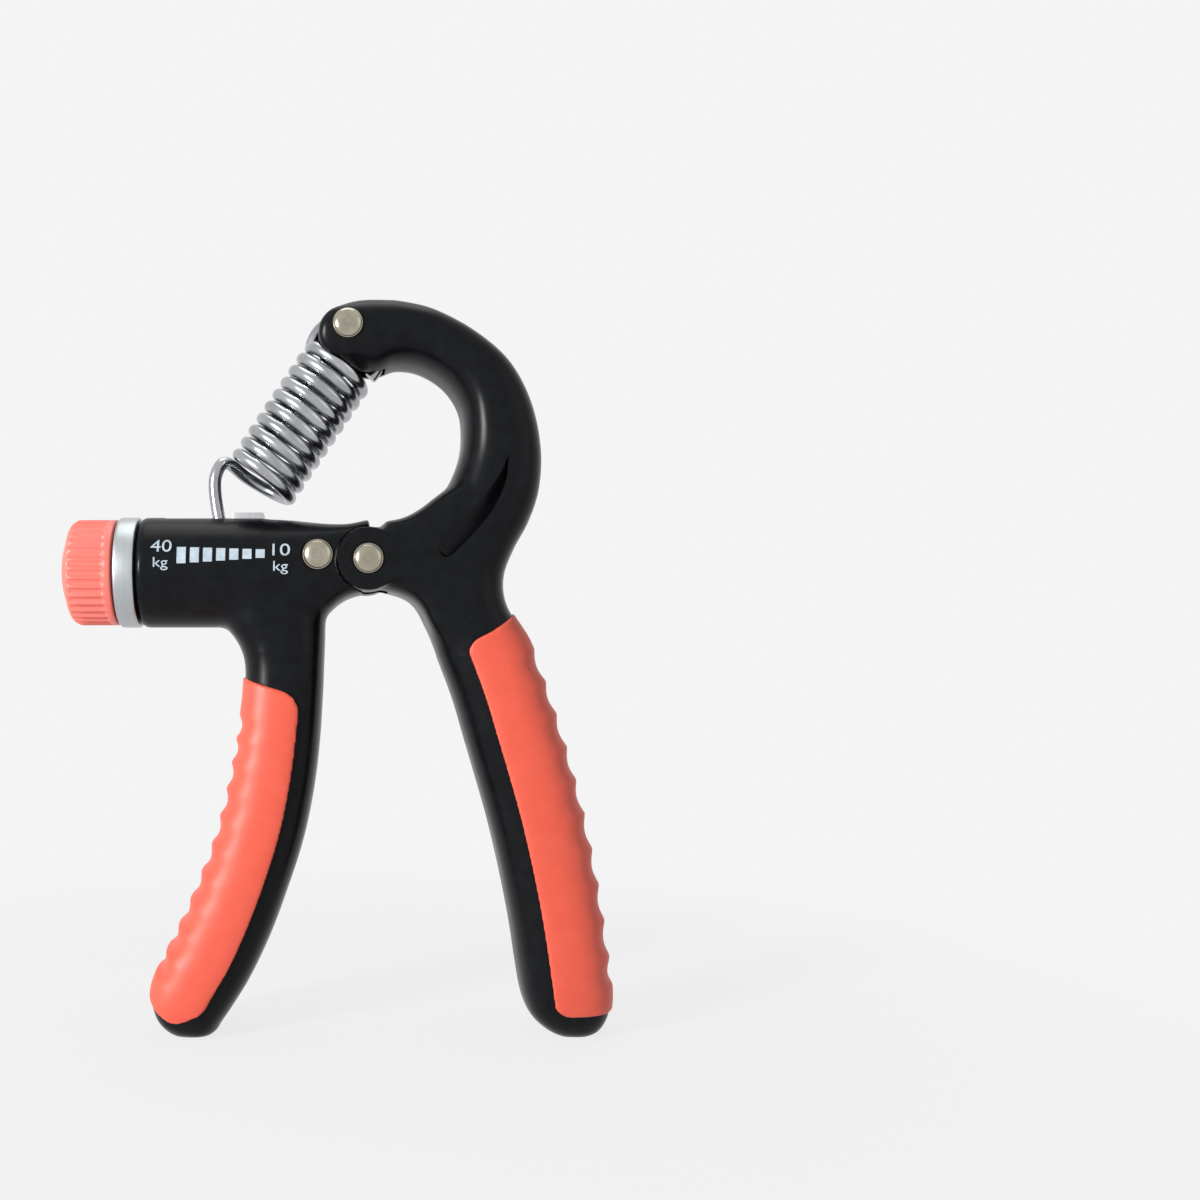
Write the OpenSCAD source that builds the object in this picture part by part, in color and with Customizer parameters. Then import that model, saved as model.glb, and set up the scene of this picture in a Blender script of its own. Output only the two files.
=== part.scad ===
// Hand grip strengthener with a spring lever, an adjuster screw and two padded handles.
// Millimetres. +X runs from the knob to the lever, +Z is up, the front face looks along -Y.
// The part stands on its two handle tips. Outlines are given from the hinge pivot.

/* [Handles] */
// Height of the hinge pivot above the handle tips
pivot_height = 99.8; // [96:0.2:104]
// Half of the depth of the handles and the lever, front to back
handle_half_depth = 10.8; // [10:0.1:11.5]
// How square the section of the handles and the lever is: 2 is an ellipse
handle_squareness = 2.7; // [2.2:0.1:3.4]
// Thickness of the soft grips
grip_wall = 2.4; // [1.8:0.1:3]
// Gap between a grip and the rebate that holds it
grip_gap = 0.06; // [0.04:0.01:0.1]
// Share of the handle's width that the grip covers on the front and back
grip_cover = 0.71; // [0.6:0.01:0.78]
// Radius of the grip's inner corners
grip_corner = 4.5; // [3:0.1:6]
// Number of finger scallops on each grip
scallops = 10; // [6:1:12]
// Depth of the scallops' hollows between their ridges
scallop_depth = 0.7; // [0.3:0.1:1]

/* [Barrel] */
// Outside radius of the adjuster barrel
barrel_r = 11.7; // [11.4:0.1:12.2]
// How far the barrel's axis lies below the pivot
barrel_drop = 2.2; // [1.8:0.1:2.6]
// Distance from the pivot to the barrel's open end
barrel_reach = 47.8; // [46.6:0.1:49]
// Radius of the barrel's cavity
cavity_r = 8.3; // [7.8:0.1:8.8]
// Thickness of the barrel's end wall
end_wall = 2.4; // [2:0.1:2.6]
// Width of the slot in the barrel's top
slot_w = 6.4; // [6:0.1:7]

/* [Adjuster] */
// Radius of the lead screw
screw_r = 3; // [2.5:0.1:3.2]
// Thread pitch, the nut's travel for one turn
screw_pitch = 1; // [0.8:0.05:1.25]
// Length of the adjuster nut
nut_l = 6.4; // [5.6:0.1:7]
// Distance from the pivot to the nut's near face at rest
nut_reach = 21.9; // [21.5:0.1:22.4]
// Turns of the knob from rest to the hardest setting
turns_to_hard = 8; // [7:0.5:8]
// Turns of the knob from rest to the easiest setting
turns_to_easy = 5.5; // [4:0.5:5.5]
// Height of the nut's crown above the barrel's axis
nut_crown = 12.5; // [12:0.1:13]
// Length of the end ferrule
ferrule_l = 4.3; // [3.8:0.1:5]
// Outside radius of the knob
knob_r = 11.2; // [10.6:0.1:11.6]
// Length of the knob's ribbed ring
knob_l = 10; // [9.4:0.1:11]
// Number of grooves round the knob
knob_grooves = 36; // [24:2:44]
// Height of the knob cap's crown
cap_crown = 1.8; // [1.2:0.1:2.4]
// Thickness of the thrust washer
washer_t = 0.8; // [0.6:0.1:1]

/* [Hinge] */
// Radius of the lever's hinge ears
ear_r = 6.6; // [6.5:0.05:6.9]
// Half of the hinge's depth, front to back
hinge_half_depth = 10.5; // [10.2:0.1:10.8]
// Thickness of the hinge tongue
tongue_t = 6; // [5:0.2:7]
// Half of the tongue's height
tongue_half_h = 4.4; // [4.1:0.1:4.5]
// Distance from the pivot back to the cross pin
cross_back = 10.4; // [10.1:0.1:10.7]
// Height of the cross pin above the pivot
cross_rise = 0.8; // [0.5:0.1:1]

/* [Pins] */
// Radius of the three joint pins
pin_r = 1.75; // [1.5:0.05:2]
// Radius of the pins' heads and caps
head_r = 3.05; // [2.8:0.05:3.2]
// Height of the pins' domed heads and caps
head_h = 1.3; // [1:0.1:1.6]
// Radius of the riveted pin end that shows in a cap
nub_r = 0.8; // [0.6:0.1:1]
// Distance from the mid-plane to the seat under each head
seat_half = 10.2; // [9.9:0.1:10.3]

/* [Spring lever] */
// Height of the spring pin above the pivot
fork_rise = 48.2; // [47.4:0.2:49]
// Distance of the spring pin behind the pivot
fork_back = 4.2; // [3.8:0.1:4.6]
// Width of the slot between the fork's ears
fork_slot = 5; // [4.6:0.1:5.6]

/* [Spring] */
// Wire diameter
wire_d = 2.7; // [2.5:0.05:2.75]
// Mean radius of the coils
coil_r = 7.05; // [6.9:0.05:7.15]
// Rise of one coil
coil_pitch = 3.05; // [2.95:0.01:3.1]
// Number of coils
coils = 10; // [9:1:10]
// Outside radius of the bush inside the upper loop
bush_r = 2.4; // [2.3:0.05:2.6]

/* [Fits] */
// Radial clearance of a shaft that turns
running = 0.05; // [0.02:0.01:0.1]
// Clearance between faces that pass each other
passing = 0.3; // [0.2:0.05:0.4]
// Clearance of pieces pressed or glued together
snug = 0.02; // [0.01:0.01:0.05]

/* [Hidden] */
$fn = 64;

// ---- where things lie, from the pivot ----
cross_at = [-cross_back, cross_rise];
fork = [-fork_back, fork_rise];
barrel_end = -barrel_reach;
ferrule_gap = 0.3;
ferrule_x = barrel_end - ferrule_gap - ferrule_l;
knob_x = ferrule_x - passing - knob_l;
cap_rim = 0.6;
knob_tip = knob_x - cap_crown;
grip_out = 51.4;
// the overall width is centred on the part's own origin
pivot_x = -(knob_tip + grip_out) / 2;
// the outlines below were drawn at these sizes, and follow the sizes above
drawn_height = 99.8;
drawn_rise = 48.2;
drop_scale = pivot_height / drawn_height;
rise_scale = fork_rise / drawn_rise;
function fit_z(z) = z < 0 ? z * drop_scale : z * rise_scale;

nut_x = -nut_reach - nut_l;
cavity_end = -nut_reach + turns_to_easy * screw_pitch + passing;
cavity_start = barrel_end + end_wall;
hook_x = nut_x - wire_d / 2 - 0.15;
slot_start = hook_x - turns_to_hard * screw_pitch - 5.2;
clip_t = 0.8;
clip_r = screw_r + 1.6;
tail_x = cavity_end + 1.4;
web = 1.2;
spigot_r = barrel_r - 2.2;
// longer than anything that a cut has to pass through
beyond = 40;
screw_head_r = 5.6;
screw_head_h = 4;
screw_head_x = ferrule_x - passing - washer_t - screw_head_h;

// ---- curves through hand-set points ----
function clamp(v, low, high) = max(low, min(high, v));
function at(list, i) = list[clamp(i, 0, len(list) - 1)];
// Catmull-Rom value of a list at place u, counted in entries
function through(list, u) =
    let (i = clamp(floor(u), 0, len(list) - 2), t = u - i,
         a = at(list, i - 1), b = at(list, i), c = at(list, i + 1), d = at(list, i + 2))
    0.5 * (2 * b + (c - a) * t + (2 * a - 5 * b + 4 * c - d) * t * t + (3 * b - a - 3 * c + d) * t * t * t);
function hermite(p, p_dir, q, q_dir, t) =
    (2 * pow(t, 3) - 3 * t * t + 1) * p + (pow(t, 3) - 2 * t * t + t) * p_dir
    + (3 * t * t - 2 * pow(t, 3)) * q + (pow(t, 3) - t * t) * q_dir;
function signed_power(v, e) = sign(v) * pow(abs(v), e);
function unit(v) = v / norm(v);

// ---- lofted bodies ----
// A section between an outer and an inner outline point [x, z]; angle 0 is on the outer side
function section_point(outer, inner, half_depth, squareness, angle, inset, outward) =
    let (middle = (outer + inner) / 2, across = unit(outer - inner),
         reach = (norm(outer - inner) / 2 - inset) * signed_power(cos(angle), 2 / squareness)
                 + outward * pow(max(0, cos(angle)), 1.5))
    [middle.x + across.x * reach,
     (half_depth - inset) * signed_power(sin(angle), 2 / squareness),
     middle.y + across.y * reach];
// 1 where a ring's points run clockwise seen from the next ring, or else -1
function ring_turn(rings) =
    let (ring = rings[0],
         areas = [for (i = [1:len(ring) - 2]) cross(ring[i] - ring[0], ring[i + 1] - ring[0])])
    sign(([for (area = areas) 1] * areas) * (rings[0][0] - rings[1][0]));
// Skins a list of closed rings with triangles, with a flat face at each end. The end of a ring that
// doubles back on itself is made of strips between its two halves
module loft(rings, doubled = false) {
    n = len(rings[0]);
    m = len(rings);
    last = (m - 1) * n;
    sides = [for (j = [0:m - 2], i = [0:n - 1])
        let (a = j * n + i, b = j * n + (i + 1) % n)
        each [[a, b, b + n], [a, b + n, a + n]]];
    strips = [for (i = [0:n / 2 - 2]) each [[i, i + 1, n - 1 - i], [i + 1, n - 2 - i, n - 1 - i]]];
    ends = doubled
        ? concat([for (s = strips) [s[1], s[0], s[2]]], [for (s = strips) [for (i = s) last + i]])
        : [[for (i = [n - 1:-1:0]) i], [for (i = [0:n - 1]) last + i]];
    outward = ring_turn(rings) > 0;
    polyhedron(points = [for (ring = rings) each ring],
        faces = [for (face = concat(ends, sides))
            outward ? face : [for (i = [len(face) - 1:-1:0]) face[i]]]);
}

// ---- handle outlines: outer x, outer z, inner x, inner z, half depth as a share ----
left_line = [
    [-32.5, -4.0, -9.5, -2.0, 0.94],
    [-30.8, -12.2, -8.9, -9.5, 0.96],
    [-27.4, -17.2, -8.8, -15.5, 0.97],
    [-25.9, -21.6, -9.0, -20.5, 0.98],
    [-26.0, -28.2, -9.3, -28.2, 1.00],
    [-27.0, -35.4, -9.9, -37.4, 1.00],
    [-28.4, -43.0, -11.0, -47.0, 1.00],
    [-30.2, -51.5, -13.2, -58.0, 1.00],
    [-32.8, -60.5, -16.6, -68.8, 1.00],
    [-36.2, -69.2, -20.4, -79.0, 1.00],
    [-39.9, -77.6, -24.6, -87.8, 0.99],
    [-43.6, -85.0, -28.4, -94.0, 0.97],
    [-45.5, -90.6, -30.6, -97.2, 0.92],
    [-44.9, -95.4, -31.4, -98.6, 0.82],
    [-43.0, -98.2, -32.4, -99.5, 0.68],
    [-41.0, -99.8, -33.8, -99.8, 0.50]];
// the lever's line runs from the fork's tip round the curved arm and down the right handle
lever_line = [
    [-9.6, 49.8, -9.6, 46.2, 0.92],
    [-7.6, 52.6, -7.4, 43.2, 0.96],
    [-3.0, 54.6, -3.0, 40.6, 0.98],
    [2.4, 55.0, 1.8, 39.9, 0.98],
    [8.0, 54.4, 6.0, 41.6, 0.98],
    [14.6, 52.6, 11.2, 41.0, 0.98],
    [22.8, 48.2, 16.4, 37.8, 0.98],
    [30.0, 42.0, 19.6, 32.9, 0.98],
    [34.6, 33.6, 20.3, 27.5, 0.98],
    [36.7, 24.0, 19.6, 21.9, 0.98],
    [36.4, 15.4, 17.2, 16.0, 0.98],
    [34.2, 8.4, 14.0, 9.4, 0.98],
    [31.0, 2.4, 11.8, 2.6, 0.98],
    [28.9, -3.4, 11.0, -5.4, 0.99],
    [29.6, -9.4, 12.6, -13.2, 1.00],
    [34.0, -16.6, 15.2, -20.6, 1.00],
    [37.1, -24.6, 18.4, -29.2, 1.00],
    [39.8, -32.6, 20.8, -37.4, 1.00],
    [42.3, -40.8, 23.2, -45.6, 1.00],
    [44.5, -49.0, 25.5, -53.6, 1.00],
    [46.5, -57.6, 27.5, -61.8, 1.00],
    [48.2, -66.4, 29.2, -69.6, 1.00],
    [49.6, -75.2, 30.7, -77.6, 1.00],
    [50.8, -84.0, 31.9, -85.6, 1.00],
    [51.4, -90.6, 33.0, -91.8, 0.94],
    [51.0, -95.2, 34.6, -95.8, 0.84],
    [49.4, -98.4, 37.2, -98.4, 0.68],
    [47.4, -99.8, 39.6, -99.8, 0.50]];
function outer_at(line, u) = let (p = through(line, u)) [p[0], fit_z(p[1])];
function inner_at(line, u) = let (p = through(line, u)) [p[2], fit_z(p[3])];
function depth_at(line, u) = handle_half_depth * through(line, u)[4];

// Each grip: its outline, then the places along it where the grip and its scallops begin and end
left_grip_run = [3.45, 12.25, 4.6, 11.2];
right_grip_run = [14.25, 24.7, 15.25, 23.7];
// the rebate's end walls lean by this share of the line's entries, so that no wall is a fold
end_step = 0.012;
// how far the outer side moves for one entry of the line
function pace(line, u) = 10 * norm(outer_at(line, u + 0.05) - outer_at(line, u - 0.05));
// Angle at which the grip ends on the front, smaller near its rounded corners
function cover_angle(line, run, u) =
    let (half = norm(outer_at(line, u) - inner_at(line, u)) / 2,
         near = min((u - run[0]) * pace(line, run[0]), (run[1] - u) * pace(line, run[1])),
         bite = near >= grip_corner ? 0 : grip_corner - sqrt(max(0, pow(grip_corner, 2) - pow(grip_corner - near, 2))),
         edge = (1 - 2 * grip_cover) + bite / half)
    acos(signed_power(edge, handle_squareness / 2));
function scallop(run, u) =
    u < run[2] || u > run[3] ? 0
    : -scallop_depth * abs(sin(180 * scallops * (u - run[2]) / (run[3] - run[2])));

back_points = 12;
outside_points = 13;
// A handle's ring: the bare inner side, then the side that carries the grip, set in by inset
function handle_ring(line, run, u, inset) =
    let (edge = cover_angle(line, run, clamp(u, run[0], run[1])), rebate = edge - 0.3,
         o = outer_at(line, u), i = inner_at(line, u), d = depth_at(line, u))
    concat(
        [for (k = [0:back_points - 1])
            section_point(o, i, d, handle_squareness, edge + (360 - 2 * edge) * k / (back_points - 1), 0, 0)],
        [for (k = [0:outside_points - 1])
            section_point(o, i, d, handle_squareness, rebate * (2 * k / (outside_points - 1) - 1), inset, 0)]);
// places past a grip's end, closer together where its corners turn, and how many rings lie between
corner_steps = [0, 0.03, 0.08, 0.16, 0.27, 0.42, 0.64, 0.9];
middle_rings = 11;
function reversed(list) = [for (k = [len(list) - 1:-1:0]) list[k]];
function handle_places(line, run) =
    let (first = run[0] + end_step, last = run[1] - end_step,
         reach = corner_steps[len(corner_steps) - 1], low = first + reach, high = last - reach)
    concat(
        [for (u = [0:0.5:run[0] - 0.1]) [u, 0]],
        [[run[0], 0]],
        [for (step = corner_steps) [first + step, grip_wall]],
        [for (k = [1:middle_rings]) [low + (high - low) * k / (middle_rings + 1), grip_wall]],
        [for (step = reversed(corner_steps)) [last - step, grip_wall]],
        [[run[1], 0]],
        [for (u = [ceil(run[1] * 2 + 0.4) / 2:0.5:len(line) - 1]) [u, 0]]);
module handle_core(line, run) {
    loft([for (p = handle_places(line, run)) handle_ring(line, run, p[0], p[1])]);
}
// A grip's ring is a C: round the outside, and back along the rebate
function grip_ring(line, run, u) =
    let (edge = cover_angle(line, run, u) - 0.8,
         o = outer_at(line, u), i = inner_at(line, u), d = depth_at(line, u), w = scallop(run, u))
    concat(
        [for (k = [0:outside_points - 1])
            section_point(o, i, d, handle_squareness, edge * (2 * k / (outside_points - 1) - 1), 0, w)],
        [for (k = [outside_points - 1:-1:0])
            section_point(o, i, d, handle_squareness, edge * (2 * k / (outside_points - 1) - 1),
                grip_wall - grip_gap, 0)]);
function grip_places(run) = let (first = run[0] + 2 * end_step, last = run[1] - 2 * end_step) concat(
    [for (step = corner_steps) first + step],
    [for (k = [0:scallops * 4]) run[2] + (run[3] - run[2]) * k / (scallops * 4)],
    [for (step = reversed(corner_steps)) last - step]);
module grip(line, run) {
    loft([for (u = grip_places(run)) grip_ring(line, run, u)], doubled = true);
}

// ---- small shapes ----
// A cylinder along X that starts at x, on the barrel's axis
module on_axis(r, x, l, sides = 64) {
    translate([x, 0, -barrel_drop]) rotate([0, 90, 0]) cylinder(r = r, h = l, $fn = sides);
}
// A cylinder along Y through a point [x, z]
module across(p, r, y0, y1) {
    translate([p.x, y0, p.y]) rotate([-90, 0, 0]) cylinder(r = r, h = y1 - y0);
}
// A plate of an outline in X and Z
module plate(outline, half) {
    rotate([90, 0, 0]) linear_extrude(height = 2 * half, center = true) polygon(outline);
}
module pin_holes(p, r) {
    across(p, r, -beyond, beyond);
    across(p, head_r + passing, -beyond, -seat_half);
    across(p, head_r + passing, seat_half, beyond);
}
// A joint pin: a domed head at the back, a shank, and a thin end riveted over in the cap
module joint_pin(p) {
    dome_r = (head_r * head_r + head_h * head_h) / (2 * head_h);
    translate([p.x, 0, p.y]) rotate([90, 0, 0]) {
        translate([0, 0, -seat_half]) cylinder(r = pin_r, h = 2 * seat_half);
        cylinder(r = nub_r, h = seat_half + head_h + 0.1);
        intersection() {
            translate([0, 0, -seat_half - head_h]) cylinder(r = head_r, h = head_h);
            translate([0, 0, -seat_half - head_h + dome_r]) sphere(r = dome_r);
        }
    }
}
module pin_cap(p) {
    dome_r = (head_r * head_r + head_h * head_h) / (2 * head_h);
    translate([p.x, 0, p.y]) rotate([90, 0, 0]) difference() {
        intersection() {
            translate([0, 0, seat_half]) cylinder(r = head_r, h = head_h);
            translate([0, 0, seat_half + head_h - dome_r]) sphere(r = dome_r);
        }
        cylinder(r = nub_r + snug, h = beyond);
    }
}
module at_pivot() {
    translate([pivot_x, 0, pivot_height]) children();
}

// ---- left handle: barrel, neck and handle in one moulding ----
// The neck's sections: x, top z, bottom z, half depth, squareness
neck_line = [
    [-24.0, 9.4, -13.8, 11.6, 2.0],
    [-18.0, 9.1, -13.7, 11.5, 2.1],
    [-13.0, 8.5, -13.2, 11.2, 2.5],
    [-9.0, 8.0, -11.6, 10.9, 3.0],
    [-6.0, 7.8, -9.0, 10.7, 3.4],
    [-3.4, 7.9, -7.5, 10.5, 3.8],
    [0.4, 8.7, -6.5, 10.5, 4.0]];
neck_sides = 28;
function neck_ring(u) =
    let (s = through(neck_line, u), middle = (s[1] + s[2]) / 2, half = (s[1] - s[2]) / 2)
    [for (k = [0:neck_sides - 1]) let (angle = 360 * (k + 0.5) / neck_sides)
        [s[0], s[3] * signed_power(cos(angle), 2 / s[4]), middle + half * signed_power(sin(angle), 2 / s[4])]];
// The tongue runs from behind the cross pin to the pivot: round below its end, with a square corner
// above it that stops the lever at rest
tongue_back = 3;
function tongue_points(gap) =
    let (r = tongue_half_h + gap, rearward = unit(cross_at), up = [rearward.y, -rearward.x],
         rear = rearward * (norm(cross_at) + tongue_back + gap))
    concat([rear - up * r], [for (k = [0:9]) r * [cos(atan2(-up.y, -up.x) * (1 - k / 9)),
                                                  sin(atan2(-up.y, -up.x) * (1 - k / 9))]],
        [[r, r], rear + up * r]);
module tongue_outline(gap) {
    plate(tongue_points(gap), tongue_t / 2 + gap);
}
module left_handle() color([0.09, 0.09, 0.1]) at_pivot() {
    spigot_l = ferrule_l - web;
    difference() {
        union() {
            handle_core(left_line, left_grip_run);
            on_axis(barrel_r, barrel_end, barrel_reach - 22);
            on_axis(spigot_r, barrel_end - spigot_l, spigot_l + 1);
            loft([for (k = [0:18]) neck_ring(k / 3)]);
        }
        on_axis(cavity_r, cavity_start, cavity_end - cavity_start);
        on_axis(screw_r + running, barrel_end - 10, tail_x - barrel_end + 10);
        translate([slot_start, -slot_w / 2, -barrel_drop])
            cube([cavity_end - slot_start, slot_w, beyond]);
        across([0, 0], ear_r + passing, -beyond, beyond);
        tongue_outline(running);
        pin_holes(cross_at, pin_r + snug);
    }
}
module left_grip() color([0.95, 0.36, 0.3]) at_pivot() grip(left_line, left_grip_run);

// ---- adjuster ----
module end_ferrule() color([0.72, 0.74, 0.75]) at_pivot() difference() {
    on_axis(barrel_r, ferrule_x, ferrule_l);
    on_axis(spigot_r + snug, ferrule_x + web, ferrule_l);
    on_axis(screw_r + running, ferrule_x - 1, ferrule_l);
}
module thrust_washer() color([0.75, 0.75, 0.77]) at_pivot() difference() {
    on_axis(screw_head_r, ferrule_x - passing - washer_t, washer_t);
    on_axis(screw_r + snug, ferrule_x - 5, 10);
}
pocket_r = 8;
module knob() color([0.95, 0.36, 0.3]) at_pivot() {
    groove_x0 = 1.4;
    groove_l = knob_l - 3;
    round = 2.4;
    difference() {
        translate([knob_x, 0, -barrel_drop]) rotate([0, 90, 0]) rotate_extrude()
            difference() {
                union() {
                    translate([0, round]) square([knob_r, knob_l - round]);
                    square([knob_r - round, knob_l]);
                    translate([knob_r - round, round]) circle(r = round);
                }
                translate([-50, -50]) square([50, 100]);
            }
        for (k = [0:knob_grooves - 1])
            translate([knob_x + groove_x0, 0, -barrel_drop]) rotate([360 * k / knob_grooves, 0, 0])
                translate([0, 0, knob_r + 0.15]) rotate([0, 90, 0]) cylinder(r = 0.55, h = groove_l, $fn = 6);
        // the cap's seat, the screw head's hexagonal pocket, the washer's seat and the shank's hole
        on_axis(pocket_r, knob_x - 1, 1 + cap_rim);
        on_axis(screw_head_r + snug, screw_head_x - snug, screw_head_h + 2 * snug, 6);
        on_axis(screw_head_r - 0.9, knob_x - 1, knob_l - screw_head_h - washer_t + 1);
        on_axis(screw_head_r + snug, ferrule_x - passing - washer_t, 10);
    }
}
module knob_cap() color([0.95, 0.36, 0.3]) at_pivot() {
    cap_r = pocket_r - snug;
    dome_r = (cap_r * cap_r + cap_crown * cap_crown) / (2 * cap_crown);
    difference() {
        union() {
            on_axis(cap_r, knob_x, cap_rim - snug);
            intersection() {
                on_axis(cap_r, knob_tip, cap_crown);
                translate([knob_tip + dome_r, 0, -barrel_drop]) sphere(r = dome_r, $fn = 96);
            }
            on_axis(screw_head_r - 0.9 - snug, knob_x, knob_l - screw_head_h - washer_t - 0.3);
        }
    }
}
module lead_screw() color([0.78, 0.79, 0.8]) at_pivot() {
    clip_x = cavity_start + 0.1;
    difference() {
        union() {
            on_axis(screw_head_r, screw_head_x, screw_head_h, 6);
            on_axis(screw_r, screw_head_x, tail_x - 0.3 - screw_head_x);
        }
        difference() {
            on_axis(screw_r + 1, clip_x, clip_t);
            on_axis(screw_r - 0.5, clip_x - 1, clip_t + 2);
        }
    }
}
module screw_clip() color([0.3, 0.3, 0.32]) at_pivot() {
    clip_x = cavity_start + 0.1 + snug;
    difference() {
        on_axis(clip_r, clip_x, clip_t - 2 * snug);
        on_axis(screw_r - 0.5 + snug, clip_x - 1, clip_t + 2);
        translate([clip_x - 1, -screw_r + 0.8, -barrel_drop - clip_r - 1]) cube([clip_t + 2, 2 * screw_r - 1.6, clip_r + 1]);
    }
}
module adjuster_nut() color([0.7, 0.71, 0.72]) at_pivot() {
    neck_half = slot_w / 2 - passing;
    difference() {
        union() {
            on_axis(cavity_r - passing, nut_x, nut_l);
            translate([nut_x, -neck_half, -barrel_drop]) cube([nut_l, 2 * neck_half, nut_crown]);
        }
        // the crown's two slanted flats, and the chamfer round its ends
        for (side = [-1, 1])
            translate([nut_x - 1, side * 1.3, nut_crown - barrel_drop]) rotate([-side * 30, 0, 0])
                translate([0, side > 0 ? 0 : -9, 0]) cube([nut_l + 2, 9, 5]);
        on_axis(screw_r + running, nut_x - 1, nut_l + 2);
    }
}

// ---- hinge ----
module hinge_tongue() color([0.16, 0.16, 0.17]) at_pivot() difference() {
    tongue_outline(0);
    across(cross_at, pin_r + snug, -beyond, beyond);
    across([0, 0], pin_r + running, -beyond, beyond);
}
module cross_pin() color([0.8, 0.76, 0.62]) at_pivot() joint_pin(cross_at);
module cross_pin_cap() color([0.8, 0.76, 0.62]) at_pivot() pin_cap(cross_at);
module pivot_pin() color([0.8, 0.76, 0.62]) at_pivot() joint_pin([0, 0]);
module pivot_pin_cap() color([0.8, 0.76, 0.62]) at_pivot() pin_cap([0, 0]);

// ---- lever: fork, curved arm, hinge ears and right handle in one moulding ----
// The hinge block between the ears and the arm
block_outline = [
    [-0.3, 6.5], [0.8, 7.0], [2.9, 6.9], [3.7, 8.2], [5.8, 8.5], [8.2, 9.2], [11.4, 11.1],
    [14.5, 13.7], [16.9, 16.7], [18.6, 20.3], [20.8, 24], [24, 27.5], [26, 22], [24, -4],
    [19.2, -12], [19.4, -18], [20.8, -26], [17.4, -23], [14.6, -18.5], [12.9, -14.2],
    [11.5, -10.8], [9.8, -8.5], [7.0, -7.1], [2.6, -6.0], [-0.3, -6.5]];
// how far below and above the pivot the slot for the tongue reaches
tongue_room = [-12, 10];
// the spring's upper loop lies in the mid-plane and hangs on the bush
loop_r = 7.4;
loop_centre = [fork.x - 0.3, 0, fork.y - loop_r + wire_d / 2 + bush_r + 0.1];
// the fork's slot: the middle and radius of its round end, and how far below the pin it begins
fork_room = [loop_centre.x, loop_centre.z];
fork_room_r = loop_r + wire_d / 2 + 0.5;
fork_foot = 14;
module lever_arm() color([0.09, 0.09, 0.1]) at_pivot() difference() {
    union() {
        handle_core(lever_line, right_grip_run);
        plate(block_outline, hinge_half_depth - 0.4);
        across([0, 0], ear_r, -hinge_half_depth, hinge_half_depth);
    }
    // the tongue's slot: its floor is the stop that the tongue's square corner meets at rest
    translate([-beyond, -tongue_t / 2 - passing, tongue_room[0]])
        cube([beyond + tongue_half_h + running, tongue_t + 2 * passing, tongue_room[1] - tongue_room[0]]);
    pin_holes([0, 0], pin_r + snug);
    // the fork's slot, where the spring's loop turns
    across(fork_room, fork_room_r, -fork_slot / 2, fork_slot / 2);
    translate([-beyond, -fork_slot / 2, fork.y - fork_foot]) cube([beyond + fork_room.x, fork_slot, beyond]);
    pin_holes(fork, pin_r + snug);
    // room under the fork's ears for the coil's last turn
    translate(coil_low) rotate([0, atan2(coil_dir.x, coil_dir.z), 0])
        cylinder(r = coil_r + wire_d / 2 + passing, h = coil_pitch * last_angle / 360 + wire_d / 2 + passing);
}
module right_grip() color([0.95, 0.36, 0.3]) at_pivot() grip(lever_line, right_grip_run);
module spring_pin() color([0.8, 0.76, 0.62]) at_pivot() joint_pin(fork);
module spring_pin_cap() color([0.8, 0.76, 0.62]) at_pivot() pin_cap(fork);
module spring_bush() color([0.75, 0.75, 0.77]) at_pivot() difference() {
    across(fork, bush_r, -fork_slot / 2 + 0.2, fork_slot / 2 - 0.2);
    across(fork, pin_r + running, -beyond, beyond);
}

// ---- spring: hook, coil and loop, one wire ----
coil_low = [-23.1, 0, 16.5];
coil_dir = unit([0.557, 0, 0.83]);
coil_side = [-coil_dir.z, 0, coil_dir.x];
coil_back = [0, 1, 0];
steps = 12;
first_angle = 60;
last_angle = 360 * coils - 40;
function on_coil(angle) = coil_low + coil_dir * coil_pitch * angle / 360
    + coil_r * (coil_side * cos(angle) + coil_back * sin(angle));
function coil_heading(angle) = unit(coil_dir * coil_pitch / (2 * PI * coil_r)
    - coil_side * sin(angle) + coil_back * cos(angle));
// the hook passes under the lead screw, beside the nut
hook_r = screw_r + wire_d / 2 + 0.15;
function on_hook(angle) = [hook_x, hook_r * cos(angle), -barrel_drop + hook_r * sin(angle)];
shank_top = [-32.2, 0, 18.6];
shank_dir = unit([0.29, 0, 0.957]);
loop_start = 165;
loop_end = -45;
function on_loop(angle) = loop_centre + loop_r * [cos(angle), 0, sin(angle)];
hook_start = 20;
hook_end = -225;
hook_heading = [0, sin(hook_end), -cos(hook_end)];
wire_line = concat(
    [for (k = [0:12]) on_hook(hook_start + (hook_end - hook_start) * k / 12)],
    [for (k = [1:6]) hermite(on_hook(hook_end), 10 * hook_heading, shank_top, 12 * shank_dir, k / 7)],
    [for (k = [0:7]) hermite(shank_top, 17 * shank_dir, on_coil(first_angle), 12 * coil_heading(first_angle), k / 8)],
    [for (k = [0:floor((last_angle - first_angle) * steps / 360)]) on_coil(first_angle + 360 * k / steps)],
    [for (k = [1:6]) hermite(on_coil(last_angle), 6 * coil_heading(last_angle),
        on_loop(loop_start), 6 * [sin(loop_start), 0, -cos(loop_start)], k / 7)],
    [for (k = [0:16]) on_loop(loop_start + (loop_end - loop_start) * k / 16)]);
wire_sides = 8;
function heading(i) = unit(at(wire_line, i + 1) - at(wire_line, i - 1));
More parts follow.
